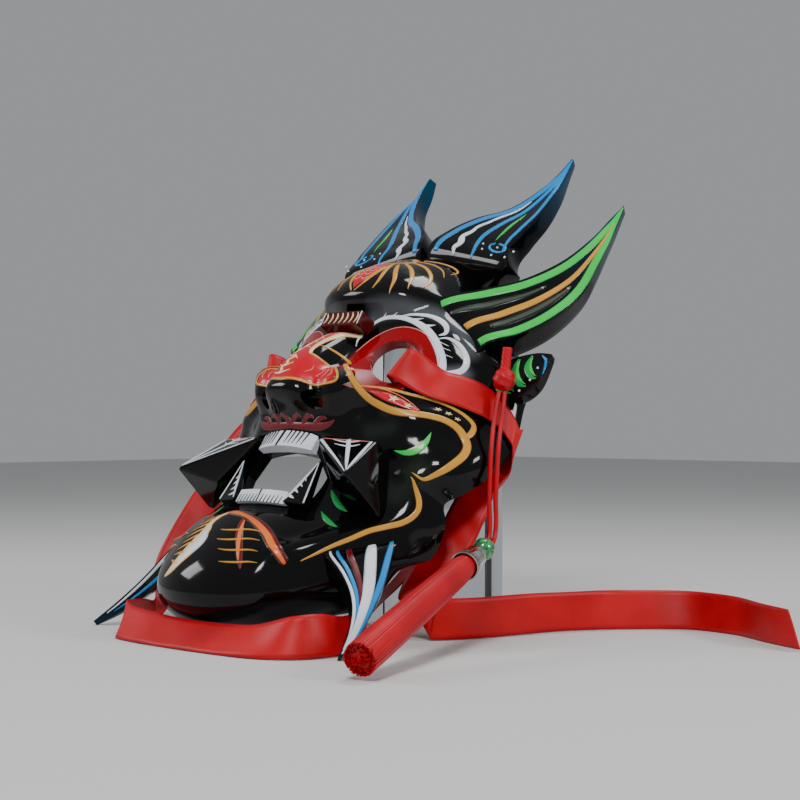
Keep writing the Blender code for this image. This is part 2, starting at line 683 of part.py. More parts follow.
def main():
    clear_scene()
    pieces = new_collection("opera_mask_on_stand")
    cutters = new_collection("cutters")
    lean = bpy.data.objects.new("mask_lean", None)
    pieces.objects.link(lean)
    lean.location = Vector((0, -CHIN_TO_BLOCK, 0)) * MM
    lean.rotation_euler = (-FACE_LEAN, 0, 0)

    black = make_material("black_lacquer", (0.012, 0.012, 0.014), 0.12)
    blue = make_material("blue_lacquer", (0.0, 0.25, 0.6), 0.2)
    green = make_material("green_lacquer", (0.02, 0.6, 0.12), 0.2)
    white = make_material("white_paint", (0.85, 0.85, 0.88), 0.3)
    red = make_material("red_paint", (0.6, 0.02, 0.02), 0.25)
    satin = make_material("red_satin", (0.75, 0.0, 0.05), 0.3)
    jade = make_material("jade_glass", (0.0, 0.3, 0.08), 0.1)
    silver = make_material("silver_cap", (0.7, 0.7, 0.68), 0.25, 1.0)
    clear = make_material("clear_acrylic", (0.9, 0.95, 1.0), 0.02, see_through=1.0)

    shell = make_shell(pieces, lean, black)
    keep_out = make_keep_out(cutters, lean)
    cut_eyes(shell, cutters, lean)
    cut_nostrils(shell, cutters, lean)
    cut_mouth(shell, cutters, lean)
    for side, end in ((1, "left"), (-1, "right")):
        carried = (keep_out, pieces, lean)
        make_blade("crown_horn_" + end, CROWN_HORN, side, *carried, blue)
        make_blade("temple_horn_" + end, TEMPLE_HORN, side, *carried, green)
        make_blade("ear_" + end, EAR, side, *carried, green)
        make_blade("jaw_tusk_" + end, JAW_TUSK, side, *carried, white)
        make_upper_tusk("upper_tusk_" + end, side, *carried, black)
        make_fang("lower_fang_" + end, side, *carried, white)
    make_teeth("upper_teeth", 20, 118, 127, -4.5, 4, keep_out, pieces, lean, white)
    make_teeth("lower_teeth", 18, 87, 94, -8, 1.5, keep_out, pieces, lean, white)
    hull("bridge_block", [(side * 14.5, forward, up) for side in (1, -1)
                          for forward, up in ((-1.9, 191.5), (-1.3, 200), (-13, 191.5), (-13, 200))],
         keep_out, pieces, lean, red, 0.8)
    make_block(pieces, clear)
    make_strap("ribbon_left", strap_rows(1, len(TEMPLE_WRAP), LEFT_FALL), 2, pieces, satin)
    make_strap("ribbon_right", strap_rows(-1, FAR_WRAPS, RIGHT_FALL), 2, pieces, satin)
    make_tassel(pieces, satin, jade, silver)


main()
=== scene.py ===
import random
from math import atan, cos, pi, radians, sin

import bmesh
import bpy
import numpy as np
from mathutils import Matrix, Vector


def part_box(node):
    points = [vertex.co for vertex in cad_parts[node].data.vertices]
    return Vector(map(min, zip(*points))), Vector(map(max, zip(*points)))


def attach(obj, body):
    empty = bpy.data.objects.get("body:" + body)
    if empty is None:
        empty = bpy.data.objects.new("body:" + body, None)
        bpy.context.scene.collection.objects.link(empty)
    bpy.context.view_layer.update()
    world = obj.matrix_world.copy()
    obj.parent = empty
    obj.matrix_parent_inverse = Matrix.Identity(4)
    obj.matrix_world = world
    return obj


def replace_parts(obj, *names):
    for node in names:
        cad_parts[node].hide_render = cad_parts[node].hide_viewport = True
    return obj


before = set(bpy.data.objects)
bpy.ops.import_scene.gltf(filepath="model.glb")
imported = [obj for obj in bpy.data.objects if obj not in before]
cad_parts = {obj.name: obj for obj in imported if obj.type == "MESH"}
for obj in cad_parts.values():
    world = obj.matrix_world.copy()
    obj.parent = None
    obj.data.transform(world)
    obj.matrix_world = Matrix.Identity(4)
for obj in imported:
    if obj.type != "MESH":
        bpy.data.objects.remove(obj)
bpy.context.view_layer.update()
mm = 0.001

# camera
cameraView = {"spot": (0.6448, -0.6646, 0.1072), "turn": radians(45), "pitch": atan(19 / 1699),
              "lens": 76.46}


def placeCamera():
    data = bpy.data.cameras.new("photoView")
    data.lens = cameraView["lens"]
    data.sensor_width = 36
    camera = bpy.data.objects.new("photoView", data)
    bpy.context.scene.collection.objects.link(camera)
    camera.location = cameraView["spot"]
    turn, pitch = cameraView["turn"], cameraView["pitch"]
    aim = Vector((-cos(turn) * cos(pitch), sin(turn) * cos(pitch), sin(pitch)))
    camera.rotation_euler = aim.to_track_quat("-Z", "Y").to_euler()
    bpy.context.scene.camera = camera


placeCamera()
print("camera placed")


# measures shared by every piece, in mm on the leaning face: across, forward, up
lean = radians(35)
chinToBlock = 176.5


def toRow(spots):
    spots = np.asarray(spots, float)
    across, forward, up = spots[..., 0], spots[..., 1], spots[..., 2]
    back = -forward * cos(lean) + up * sin(lean) - chinToBlock
    high = forward * sin(lean) + up * cos(lean)
    return np.stack([across, back, high], -1) * mm


def ramp(low, high, value):
    share = np.clip((np.asarray(value, float) - low) / (high - low), 0, 1)
    return share * share * (3 - 2 * share)


def readAlong(rows, position):  # smooth curve through a table of rows
    table = np.array(rows, float)
    position = np.asarray(position, float)
    row = np.clip(position.astype(int), 0, len(table) - 2)
    share = (position - row)[..., None]
    before = table[np.maximum(row - 1, 0)]
    start = table[row]
    end = table[row + 1]
    after = table[np.minimum(row + 2, len(table) - 1)]
    return 0.5 * (2 * start + (end - before) * share
                  + (2 * before - 5 * start + 4 * end - after) * share ** 2
                  + (3 * start - before - 3 * end + after) * share ** 3)


def unit(vectors):
    length = np.linalg.norm(vectors, axis=-1, keepdims=True)
    return vectors / np.maximum(length, 1e-12)


# mesh helpers
def layGrid(mesh, spots):  # a grid of faces whose points lie on the given rows of metres
    across, along = spots.shape[0], spots.shape[1]
    made = bmesh.ops.create_grid(mesh, x_segments=across - 1, y_segments=along - 1, size=1.0)
    table = [[None] * along for _ in range(across)]
    for vert in made["verts"]:
        column = round((vert.co.x + 1) / 2 * (across - 1))
        row = round((vert.co.y + 1) / 2 * (along - 1))
        vert.co = Vector(spots[column, row])
        table[column][row] = vert
    return table


def layRings(mesh, rings):  # a closed skin pulled ring by ring, capped at both ends
    rings = np.asarray(rings, float)
    made = bmesh.ops.create_circle(mesh, cap_ends=False, segments=rings.shape[1], radius=1.0)
    loop = made["verts"]
    for vert, spot in zip(loop, rings[0]):
        vert.co = Vector(spot)
    first = list(loop)
    for ring in rings[1:]:
        edges = [mesh.edges.get((loop[i], loop[(i + 1) % len(loop)])) for i in range(len(loop))]
        grown = bmesh.ops.extrude_edge_only(mesh, edges=edges)
        fresh = {edge for edge in grown["geom"] if isinstance(edge, bmesh.types.BMEdge)}
        partner = {}
        new = {vert for vert in grown["geom"] if isinstance(vert, bmesh.types.BMVert)}
        for vert in new:
            for edge in vert.link_edges:
                other = edge.other_vert(vert)
                if other not in new and edge not in fresh:
                    partner[other] = vert
        loop = [partner[vert] for vert in loop]
        for vert, spot in zip(loop, ring):
            vert.co = Vector(spot)
    for cap in (first, loop):
        edges = [mesh.edges.get((cap[i], cap[(i + 1) % len(cap)])) for i in range(len(cap))]
        bmesh.ops.contextual_create(mesh, geom=edges)


def smoothSides(piece, sharp):  # edges stay sharp only where the sides turn more than this
    piece.data.shade_smooth()
    piece.data.set_sharp_from_angle(angle=radians(sharp))


def addPiece(name, mesh, material, sharp=40, closed=True, body="root"):
    if closed:
        bmesh.ops.recalc_face_normals(mesh, faces=mesh.faces)
    data = bpy.data.meshes.new(name)
    mesh.to_mesh(data)
    mesh.free()
    piece = bpy.data.objects.new(name, data)
    bpy.context.scene.collection.objects.link(piece)
    data.materials.append(material)
    smoothSides(piece, sharp)
    if body:
        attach(piece, body)
    return piece


def settle(piece):  # keeps what the modifiers made
    graph = bpy.context.evaluated_depsgraph_get()
    data = bpy.data.meshes.new_from_object(piece.evaluated_get(graph))
    piece.modifiers.clear()
    piece.data = data
    return piece


# the carved face
faceShape = {
    "rows": [
        (33, -36, 32, 50, -50, 1.0), (24, -17, 44, 52, -52, 1.0), (25, 0, 54, 57, -53, 1.0),
        (34, 5, 62, 66, -53, 1.1), (48, 4, 68, 78, -52, 1.2), (64, 0, 73, 85, -56, 1.2),
        (77, -5, 76, 90, -60, 1.2), (87, -11, 78, 97, -60, 1.2), (104, -14, 80, 108, -56, 1.3),
        (119, -11, 79, 116, -51, 1.4), (129, -9, 85, 124, -54, 1.5), (141, -5, 89, 137, -60, 1.5),
        (153, -4, 90, 150, -64, 1.6), (168, -6, 89, 165, -67, 1.6), (186, -10, 86, 182, -66, 1.4),
        (198, -11, 84, 193, -66, 1.2), (208, -9, 78, 201, -67, 1.1), (221, -9, 66, 212, -68, 1.4),
        (238, -16, 58, 228, -71, 1.5), (256, -28, 53, 244, -75, 1.3), (268, -41, 48, 256, -79, 1.0),
        (273, -60, 44, 264, -83, 1.0),
    ],
    "wall": 6.0, "rimWall": 5.0, "aroundSteps": 160, "heightSteps": 190, "sandings": 10,
    "nose": [(137, 0), (143, 19), (150, 18), (158, 17), (168, 14), (182, 9), (187, 8), (191, 0)],
    "brow": [(0, 205), (16, 206), (31, 210), (42, 218), (51, 213), (61, 205), (75, 194), (90, 184)],
    "cheek": [(22, 168), (34, 157), (45, 150), (59, 147), (68, 151), (76, 154), (84, 147), (83, 134),
              (71, 122)],
    "jaw": [(40, 59), (49, 70), (56, 82), (65, 91), (70, 101), (71, 112), (68, 119)],
    "eye": (37, 178), "eyeForward": -17, "eyeFront": 19.5, "eyeHole": 12.5, "eyeDepth": 16,
    "eyeTurn": radians(28),
    "eyeSides": 96, "throughBack": 12, "throughDepth": 26, "nostril": (18, 143.5, 5.0),
    "nostrilWay": (0, 0.9, -0.42), "mouthHalf": 27, "mouthLow": 88, "mouthHigh": 121, "mouthFront": 40,
    "mouthBack": -45,
}


def mound(across, up, centreAcross, centreUp, radiusAcross, radiusUp):
    return ramp(1, 0, ((across - centreAcross) / radiusAcross) ** 2 + ((up - centreUp) / radiusUp) ** 2)


def ridgeAlong(across, up, line, width):
    nearest = np.full(np.shape(across), float(width))
    for start, end in zip(line, line[1:]):
        run, rise = end[0] - start[0], end[1] - start[1]
        share = ((across - start[0]) * run + (up - start[1]) * rise) / (run * run + rise * rise)
        share = np.clip(share, 0, 1)
        gap = np.hypot(across - start[0] - run * share, up - start[1] - rise * share)
        nearest = np.minimum(nearest, gap)
    return ramp(width, 0, nearest)


def noseCarving(across, up):
    ups, heights = zip(*faceShape["nose"])
    height = np.interp(up, ups, heights)
    tip = ramp(190, 146, up)
    near, far = 5 + 3 * tip, 13 + 10 * tip
    share = np.clip((across - far) / (near - far), 0, 1)
    ridge = height * share * share * (3 - 2 * share)
    wing = 15 * mound(across, up, 25, 152, 15, 14)
    return np.maximum(ridge, wing)


def carving(across, up):
    across = np.abs(across)
    brow = faceShape["brow"]
    overBrow = up - np.interp(across, *zip(*brow))
    height = noseCarving(across, up)
    height = height + 9 * ramp(-2, 5, overBrow) * ramp(262, 216, up) * ramp(60, 20, across)
    height = height + 3 * ridgeAlong(across, up, brow[3:], 9)
    height = height + 5 * mound(across, up, 58, 160, 32, 20)
    height = height + 4 * ridgeAlong(across, up, faceShape["cheek"], 9)
    height = height + 4 * mound(across, up, 66, 136, 16, 14) + 4 * mound(across, up, 86, 132, 18, 26)
    height = height + 4 * ramp(124, 130, up) * ramp(146, 140, up) * ramp(46, 24, across)
    chinEdge = 80 - 0.5 * across
    under = np.clip((up - chinEdge - 2) / -8, 0, 1)
    height = height + 5 * ramp(46, 34, across) * under * under * (3 - 2 * under) * ramp(12, 26, up)
    height = height + 4 * ridgeAlong(across, up, faceShape["jaw"], 10)
    return height + 2.5 * mound(across, up, faceShape["eye"][0] + 2, faceShape["eye"][1], 30, 28)


def middleNormal(position):
    last = len(faceShape["rows"]) - 1
    below = readAlong(faceShape["rows"], np.maximum(position - 0.2, 0))
    above = readAlong(faceShape["rows"], np.minimum(position + 0.2, last))
    rise, run = above[..., 0] - below[..., 0], above[..., 1] - below[..., 1]
    length = np.hypot(rise, run)
    return rise / length, -run / length


def outerFace(turn, position, lift=0.0):  # turn off the midline in radians, row number up the face
    row = readAlong(faceShape["rows"], position)
    middleUp, middleForward, half, rimUp, rimForward, flat = np.moveaxis(row, -1, 0)
    level = np.maximum(np.cos(turn), 0)
    across = half * np.sin(turn)
    forward = rimForward + (middleForward - rimForward) * level ** flat
    up = rimUp + (middleUp - rimUp) * level
    height = carving(across, up) * ramp(0, 0.35, level) + lift
    ahead, above = middleNormal(position)
    return np.stack([across + height * np.sin(turn) * 0.6, forward + height * level * ahead,
                     up + height * level * above], -1)


def innerFace(turn, position, wall=faceShape["wall"], rimWall=faceShape["rimWall"]):
    row = readAlong(faceShape["rows"], position)
    middleUp, middleForward, half, rimUp, rimForward, flat = np.moveaxis(row, -1, 0)
    level = np.maximum(np.cos(turn), 0)
    ahead, above = middleNormal(position)
    across = (half - rimWall) * np.sin(turn)
    forward = rimForward + (middleForward - wall * ahead - rimForward) * level ** flat
    up = rimUp + (middleUp - wall * above - rimUp) * level
    return np.stack([across, forward + 0.55 * noseCarving(np.abs(across), up), up], -1)


def faceGrid(surface, around, height, **options):
    turns = np.linspace(-pi / 2, pi / 2, around + 1)
    positions = np.linspace(0, len(faceShape["rows"]) - 1, height + 1)
    turn, position = np.meshgrid(turns, positions, indexing="ij")
    return surface(turn, position, **options)


def sanded(spots, times):  # takes the sharp creases out of a carved grid
    spots = spots.copy()
    for _ in range(times):
        around = spots[:-2, 1:-1] + spots[2:, 1:-1] + spots[1:-1, :-2] + spots[1:-1, 2:]
        spots[1:-1, 1:-1] = around / 8 + spots[1:-1, 1:-1] / 2
    return spots


carvedGrid = sanded(faceGrid(outerFace, faceShape["aroundSteps"], faceShape["heightSteps"]),
                    faceShape["sandings"])


def carvedFace(keys):  # grid numbers (around, height) -> place on the sanded face
    keys = np.asarray(keys, float)
    last = np.array(carvedGrid.shape[:2]) - 2
    low = np.clip(np.floor(keys).astype(int), 0, last)
    share = keys - low
    one, two = share[..., :1], share[..., 1:2]
    column, row = low[..., 0], low[..., 1]
    return ((1 - one) * (1 - two) * carvedGrid[column, row] + one * (1 - two) * carvedGrid[column + 1, row]
            + (1 - one) * two * carvedGrid[column, row + 1] + one * two * carvedGrid[column + 1, row + 1])


def frontView(keys):
    return carvedFace(keys)[:, [0, 2]]


def findOnFace(spots):  # front-view places, across and up in mm -> grid numbers
    spots = np.asarray(spots, float).reshape(-1, 2)
    flat = carvedGrid[3:-3].reshape(-1, 3)
    keys = []
    for spot in spots:
        nearest = np.argmin(np.hypot(flat[:, 0] - spot[0], flat[:, 2] - spot[1]) - 0.02 * flat[:, 1])
        keys.append(divmod(nearest, carvedGrid.shape[1]))
    keys = np.array(keys, float) + np.array([3, 0])
    top = np.array(carvedGrid.shape[:2]) - 1.5
    aroundStep, heightStep = np.array([0.5, 0]), np.array([0, 0.5])
    for _ in range(8):
        byAround = frontView(keys + aroundStep) - frontView(keys - aroundStep)
        byHeight = frontView(keys + heightStep) - frontView(keys - heightStep)
        miss = spots - frontView(keys)
        area = byAround[:, 0] * byHeight[:, 1] - byAround[:, 1] * byHeight[:, 0]
        area = np.where(np.abs(area) < 0.1, 1e9, area)
        stepAround = (miss[:, 0] * byHeight[:, 1] - miss[:, 1] * byHeight[:, 0]) / area
        stepHeight = (byAround[:, 0] * miss[:, 1] - byAround[:, 1] * miss[:, 0]) / area
        keys = keys + np.stack([np.clip(stepAround, -1, 1), np.clip(stepHeight, -1, 1)], -1)
        keys = np.clip(keys, 1, top)
    return keys


# flat-faced horns, ears and tusks: upper edge, lower edge, thickness
bladeShapes = {
    "crownHorn": [
        ((3, -38, 250), (44, -52, 242), 15), ((3, -29, 266), (60, -35, 251), 16),
        ((9, -31, 278), (58, -34, 266), 15), ((21, -35, 289), (59, -37, 278), 14),
        ((36, -41, 299), (60, -41, 292), 12), ((47, -45, 314), (59, -45, 308), 10),
        ((52, -48, 328), (57, -49, 323), 8), ((54, -50, 340), (55.5, -50.5, 339), 5)],
    "templeHorn": [
        ((26, -24, 206), (60, -40, 186), 14), ((40, -21, 221), (74, -35, 201), 15),
        ((54, -32, 235), (85, -43, 213), 16), ((69, -41, 247), (94, -50, 228), 15),
        ((80, -51, 266), (98, -57, 248), 13), ((86, -58, 286), (97, -60, 270), 11),
        ((88, -63, 304), (94, -64, 293), 8), ((90, -66, 316), (91, -66, 314), 5)],
    "ear": [
        ((58, -56, 188), (64, -58, 180), 9), ((69, -48, 192), (77, -50, 183), 10),
        ((81, -48, 201), (91, -52, 181), 9), ((93, -50, 206), (101, -52, 188), 7),
        ((103, -51, 206), (104, -51, 203), 4)],
    "jawTusk": [
        ((46, -26, 73), (60, -45, 95), 10), ((56, -17, 65), (70, -41, 89), 12),
        ((67, -20, 58), (76, -38, 77), 11), ((76, -23, 50), (82, -35, 63), 10),
        ((83, -24, 41), (87, -31, 46), 8), ((89, -22.5, 29), (91.5, -26, 29), 6),
        ((93.5, -19, 16), (94.5, -20, 16), 3)],
}


def bladeFrame(name, along):  # upper edge, lower edge and the way to the blade's back
    table = [(*upper, *lower, thick) for upper, lower, thick in bladeShapes[name]]
    values = readAlong(table, along)
    nearer = readAlong(table, np.maximum(along - 0.5, 0))
    further = readAlong(table, np.minimum(along + 0.5, len(table) - 1))
    back = unit(np.cross(further[..., :3] - nearer[..., :3], values[..., 3:6] - values[..., :3]))
    back = np.where(back[..., 1:2] > 0, -back, back)
    return values[..., :3], values[..., 3:6], back * values[..., 6:7]


def bladeFront(name, dish=0.5):
    def spots(keys):
        upper, lower, back = bladeFrame(name, keys[..., 0])
        share = keys[..., 1:2]
        width = np.linalg.norm(lower - upper, axis=-1, keepdims=True)
        sink = dish * np.clip(width / 20, 0, 1) * (1 - (2 * share - 1) ** 2)
        return upper + (lower - upper) * share + unit(back) * sink
    return spots


def mirrored(spots, side):
    spots = np.array(spots, float)
    spots[..., 0] *= side
    return spots


def makeBlade(node, name, side, material, sharp=35):
    last = len(bladeShapes[name]) - 1
    front = bladeFront(name)
    rings = []
    for along in np.linspace(0, last, 10 * last + 1):
        upper, lower, back = bladeFrame(name, np.array(along))
        shares = np.linspace(0, 1, 9)
        face = front(np.stack([np.full(9, along), shares], -1))
        lowerBack, upperBack = lower + back * 0.9, upper + back
        under = [lower + (lowerBack - lower) * share for share in (0.25, 0.5, 0.75)]
        rear = [lowerBack + (upperBack - lowerBack) * share for share in (0, 0.25, 0.5, 0.75, 1)]
        over = [upperBack + (upper - upperBack) * share for share in (0.25, 0.5, 0.75)]
        rings.append(toRow(mirrored(np.array([*face, *under, *rear, *over]), side)))
    mesh = bmesh.new()
    layRings(mesh, rings)
    piece = addPiece(node + "Carved", mesh, material, sharp)
    edge = piece.modifiers.new("softEdges", "BEVEL")
    edge.width = 0.7 * mm
    edge.segments = 2
    edge.limit_method = "ANGLE"
    edge.angle_limit = radians(40)
    settle(piece)
    smoothSides(piece, 60)
    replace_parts(piece, node)
    return piece


# materials
def newMaterial(name, colour, roughness, **sockets):
    material = bpy.data.materials.new(name)
    material.use_nodes = True
    shader = material.node_tree.nodes["Principled BSDF"]
    shader.inputs["Base Color"].default_value = (*colour, 1)
    shader.inputs["Roughness"].default_value = roughness
    for socket, value in sockets.items():
        shader.inputs[socket.replace("_", " ")].default_value = value
    return material


def startGroup(name, inputs, outputs):
    group = bpy.data.node_groups.new(name, "ShaderNodeTree")
    for label, value in inputs.items():
        socket = group.interface.new_socket(label, in_out="INPUT", socket_type="NodeSocketFloat")
        socket.default_value = value
    for label in outputs:
        group.interface.new_socket(label, in_out="OUTPUT", socket_type="NodeSocketFloat")
    return group, group.nodes.new("NodeGroupInput"), group.nodes.new("NodeGroupOutput")


def addMath(tree, operation, first, second=None, third=None):
    made = tree.nodes.new("ShaderNodeMath")
    made.operation = operation
    for slot, value in enumerate((first, second, third)):
        if value is None:
            continue
        if isinstance(value, (int, float)):
            made.inputs[slot].default_value = value
        else:
            tree.links.new(value, made.inputs[slot])
    return made.outputs[0]


def addNoise(tree, vector, scale, detail=2.0):
    made = tree.nodes.new("ShaderNodeTexNoise")
    made.inputs["Scale"].default_value = scale
    made.inputs["Detail"].default_value = detail
    tree.links.new(vector, made.inputs["Vector"])
    return made.outputs["Fac"]


def addSpread(tree, value, low, high):
    made = tree.nodes.new("ShaderNodeMapRange")
    made.inputs["From Min"].default_value = low
    made.inputs["From Max"].default_value = high
    tree.links.new(value, made.inputs["Value"])
    return made.outputs["Result"]


def addMark(tree, name):
    made = tree.nodes.new("ShaderNodeAttribute")
    made.attribute_name = name
    return made.outputs["Fac"]


def addBlend(tree, factor, first, second):
    made = tree.nodes.new("ShaderNodeMix")
    made.data_type = "RGBA"
    tree.links.new(factor, made.inputs["Factor"])
    for label, value in (("A", first), ("B", second)):
        if isinstance(value, tuple):
            made.inputs[label].default_value = (*value, 1)
        else:
            tree.links.new(value, made.inputs[label])
    return made.outputs["Result"]


def makeLacquerGroup():  # hand-laid lacquer: long soft waves, dust nibs and rubbed patches
    group, start, end = startGroup("lacquerCoat", {"Wave": 0.3, "Rub": 0.1, "Gloss": 0.1},
                                   ("Roughness", "Height", "Rubbed"))
    place = group.nodes.new("ShaderNodeTexCoord").outputs["Object"]
    waves = addMath(group, "MULTIPLY", addNoise(group, place, 60), start.outputs["Wave"])
    height = addMath(group, "MULTIPLY_ADD", addNoise(group, place, 900, 1), 0.012, waves)
    rubbed = addSpread(group, addNoise(group, place, 28, 6), 0.55, 0.75)
    rough = addMath(group, "MULTIPLY_ADD", rubbed, start.outputs["Rub"], start.outputs["Gloss"])
    group.links.new(rough, end.inputs["Roughness"])
    group.links.new(height, end.inputs["Height"])
    group.links.new(rubbed, end.inputs["Rubbed"])
    return group


def makeBrushGroup():  # brush marks: bristle streaks along the stroke, thin paint at its edges
    group, start, end = startGroup("brushMarks", {"Streaks": 0.5, "Edge": 0.7},
                                   ("Height", "Thin", "Streak"))
    place = group.nodes.new("ShaderNodeTexCoord").outputs["Object"]
    across, along = addMark(group, "acrossStroke"), addMark(group, "alongStroke")
    lines = group.nodes.new("ShaderNodeCombineXYZ")
    group.links.new(addMath(group, "MULTIPLY", across, 6.0), lines.inputs["X"])
    group.links.new(addMath(group, "MULTIPLY", along, 0.06), lines.inputs["Y"])
    bristles = addNoise(group, lines.outputs[0], 1.6, 3)
    cloud = addNoise(group, place, 120, 3)
    streak = addMath(group, "MULTIPLY", addMath(group, "MULTIPLY_ADD", cloud, 0.5, bristles),
                     start.outputs["Streaks"])
    reach = addMath(group, "ABSOLUTE", across)
    wobble = addMath(group, "MULTIPLY_ADD", cloud, 0.25, reach)
    thin = addSpread(group, addMath(group, "SUBTRACT", wobble, start.outputs["Edge"]), 0.1, 0.34)
    group.links.new(streak, end.inputs["Height"])
    group.links.new(thin, end.inputs["Thin"])
    group.links.new(addSpread(group, streak, 0.15, 0.62), end.inputs["Streak"])
    return group


def makeWeaveGroup():  # fine satin rib across the ribbon, with soft creases
    group, start, end = startGroup("satinWeave", {"Crease": 0.5}, ("Height", "Shade", "Selvedge"))
    across, along = addMark(group, "acrossStroke"), addMark(group, "alongStroke")
    place = group.nodes.new("ShaderNodeTexCoord").outputs["Object"]
    ribs = addMath(group, "SINE", addMath(group, "MULTIPLY", along, 9.0))
    warp = addMath(group, "SINE", addMath(group, "MULTIPLY", across, 120.0))
    crease = addMath(group, "MULTIPLY", addNoise(group, place, 75, 3), start.outputs["Crease"])
    weave = addMath(group, "MULTIPLY_ADD", warp, 0.02, addMath(group, "MULTIPLY_ADD", ribs, 0.03, crease))
    group.links.new(weave, end.inputs["Height"])
    group.links.new(addSpread(group, addNoise(group, place, 45, 4), 0.35, 0.7), end.inputs["Shade"])
    reach = addMath(group, "ABSOLUTE", across)
    group.links.new(addSpread(group, reach, 0.93, 0.97), end.inputs["Selvedge"])
    return group


lacquerCoat = makeLacquerGroup()
brushMarks = makeBrushGroup()
satinWeave = makeWeaveGroup()


def placeGroup(material, group, bumpHeight, strength=0.5, **values):
    tree = material.node_tree
    made = tree.nodes.new("ShaderNodeGroup")
    made.node_tree = group
    for label, value in values.items():
        made.inputs[label].default_value = value
    bump = tree.nodes.new("ShaderNodeBump")
    bump.inputs["Distance"].default_value = bumpHeight
    bump.inputs["Strength"].default_value = strength
    tree.links.new(made.outputs["Height"], bump.inputs["Height"])
    tree.links.new(bump.outputs["Normal"], tree.nodes["Principled BSDF"].inputs["Normal"])
    return tree, made, tree.nodes["Principled BSDF"]


def lacquer(name, colour, second, gloss=0.09, wave=0.08, rub=0.08, coat=0.12, level=0.2, tintsAndHighlight=None):
    material = newMaterial(name, colour, gloss, Coat_Weight=coat, Coat_Roughness=0.03,
                           Specular_IOR_Level=level)
    tree, coatNode, shader = placeGroup(material, lacquerCoat, 0.0006, Wave=wave, Rub=rub, Gloss=gloss)
    tint = addBlend(tree, coatNode.outputs["Rubbed"], colour, second)
    # tints laid over the lacquer from marks: real paint, and on the brows and eyes partly a painted
    # highlight
    for mark, shade in (tintsAndHighlight or {}).items():
        tint = addBlend(tree, addMark(tree, mark), tint, shade)
    tree.links.new(tint, shader.inputs["Base Color"])
    tree.links.new(coatNode.outputs["Roughness"], shader.inputs["Roughness"])
    return material


def brushPaint(name, colour, streak, edge, gloss, edgeStart):
    material = newMaterial(name, colour, gloss, Coat_Weight=0.2, Coat_Roughness=0.05,
                           Specular_IOR_Level=0.35)
    tree, marks, shader = placeGroup(material, brushMarks, 0.0002, Streaks=0.5, Edge=edgeStart)
    tint = addBlend(tree, marks.outputs["Streak"], colour, streak)
    tree.links.new(addBlend(tree, marks.outputs["Thin"], tint, edge), shader.inputs["Base Color"])
    return material


def clothSatin(name, colour, shade, crease=0.5):
    material = newMaterial(name, colour, 0.42, Sheen_Weight=0.15, Sheen_Roughness=0.3,
                           Specular_IOR_Level=0.3)
    material.node_tree.nodes["Principled BSDF"].inputs["Sheen Tint"].default_value = (1, 0.25, 0.35, 1)
    tree, weave, shader = placeGroup(material, satinWeave, 0.0005, 0.6, Crease=crease)
    tint = addBlend(tree, weave.outputs["Shade"], colour, shade)
    tree.links.new(addBlend(tree, weave.outputs["Selvedge"], tint, (0.42, 0.0, 0.012)),
                   shader.inputs["Base Color"])
    return material


# the eyeHazeAndHighlight tint lightens the black on brows and eye mounds: a painted highlight, partly
# sprayed grey paint
blackLacquer = lacquer("blackLacquer", (0.0022, 0.0022, 0.0026), (0.004, 0.004, 0.0045),
                       tintsAndHighlight={"eyeHazeAndHighlight": (0.13, 0.14, 0.16), "oliveHaze": (0.022, 0.032, 0.022),
                             "tipBlue": (0.0, 0.035, 0.075), "socketRed": (0.28, 0.001, 0.005)})
insideBlack = lacquer("insideBlack", (0.006, 0.006, 0.006), (0.013, 0.012, 0.011), gloss=0.45, rub=0.25,
                      coat=0.0)
redSocket = lacquer("redSocket", (0.28, 0.001, 0.005), (0.20, 0.001, 0.004), gloss=0.32, coat=0.0,
                    level=0.3)
blockRed = lacquer("blockRed", (0.07, 0.002, 0.003), (0.04, 0.001, 0.002), gloss=0.2)
paintColours = {  # paint, streaks in it, thin paint at its edges
    "gold": ((0.56, 0.24, 0.018), (0.66, 0.34, 0.05), (0.22, 0.08, 0.006)),
    "cream": ((0.84, 0.60, 0.26), (0.88, 0.74, 0.48), (0.58, 0.27, 0.04)),
    "white": ((0.84, 0.87, 0.92), (0.66, 0.72, 0.80), (0.34, 0.40, 0.46)),
    "pink": ((0.72, 0.16, 0.14), (0.8, 0.30, 0.25), (0.6, 0.05, 0.05)),
    "red": ((0.60, 0.0, 0.010), (0.52, 0.0, 0.016), (0.32, 0.0, 0.005)),
    "wine": ((0.12, 0.001, 0.006), (0.18, 0.002, 0.010), (0.05, 0.03, 0.026)),
    "orange": ((0.80, 0.14, 0.015), (0.84, 0.21, 0.03), (0.26, 0.004, 0.002)),
    "green": ((0.0, 0.50, 0.045), (0.03, 0.62, 0.09), (0.01, 0.26, 0.04)),
    "leaf": ((0.005, 0.26, 0.05), (0.02, 0.40, 0.08), (0.004, 0.08, 0.02)),
    "blue": ((0.0, 0.20, 0.56), (0.0, 0.27, 0.66), (0.005, 0.07, 0.22)),
    "olive": ((0.045, 0.06, 0.042), (0.06, 0.08, 0.055), (0.004, 0.005, 0.004)),
    "black": ((0.002, 0.002, 0.002), (0.004, 0.004, 0.004), (0.002, 0.002, 0.002)),
}
thinEdges = {"red": 0.9, "wine": 0.62, "orange": 0.66, "olive": 0.3}
paints = {colour: brushPaint("paint" + colour.title(), *shades, gloss=0.12 if colour == "black" else 0.28,
                             edgeStart=thinEdges.get(colour, 0.7))
          for colour, shades in paintColours.items()}
ribbonSatin = clothSatin("ribbonSatin", (0.56, 0.0, 0.006), (0.40, 0.0, 0.004))
silkRed = clothSatin("silkRed", (0.52, 0.0, 0.008), (0.36, 0.0, 0.006), crease=0.15)


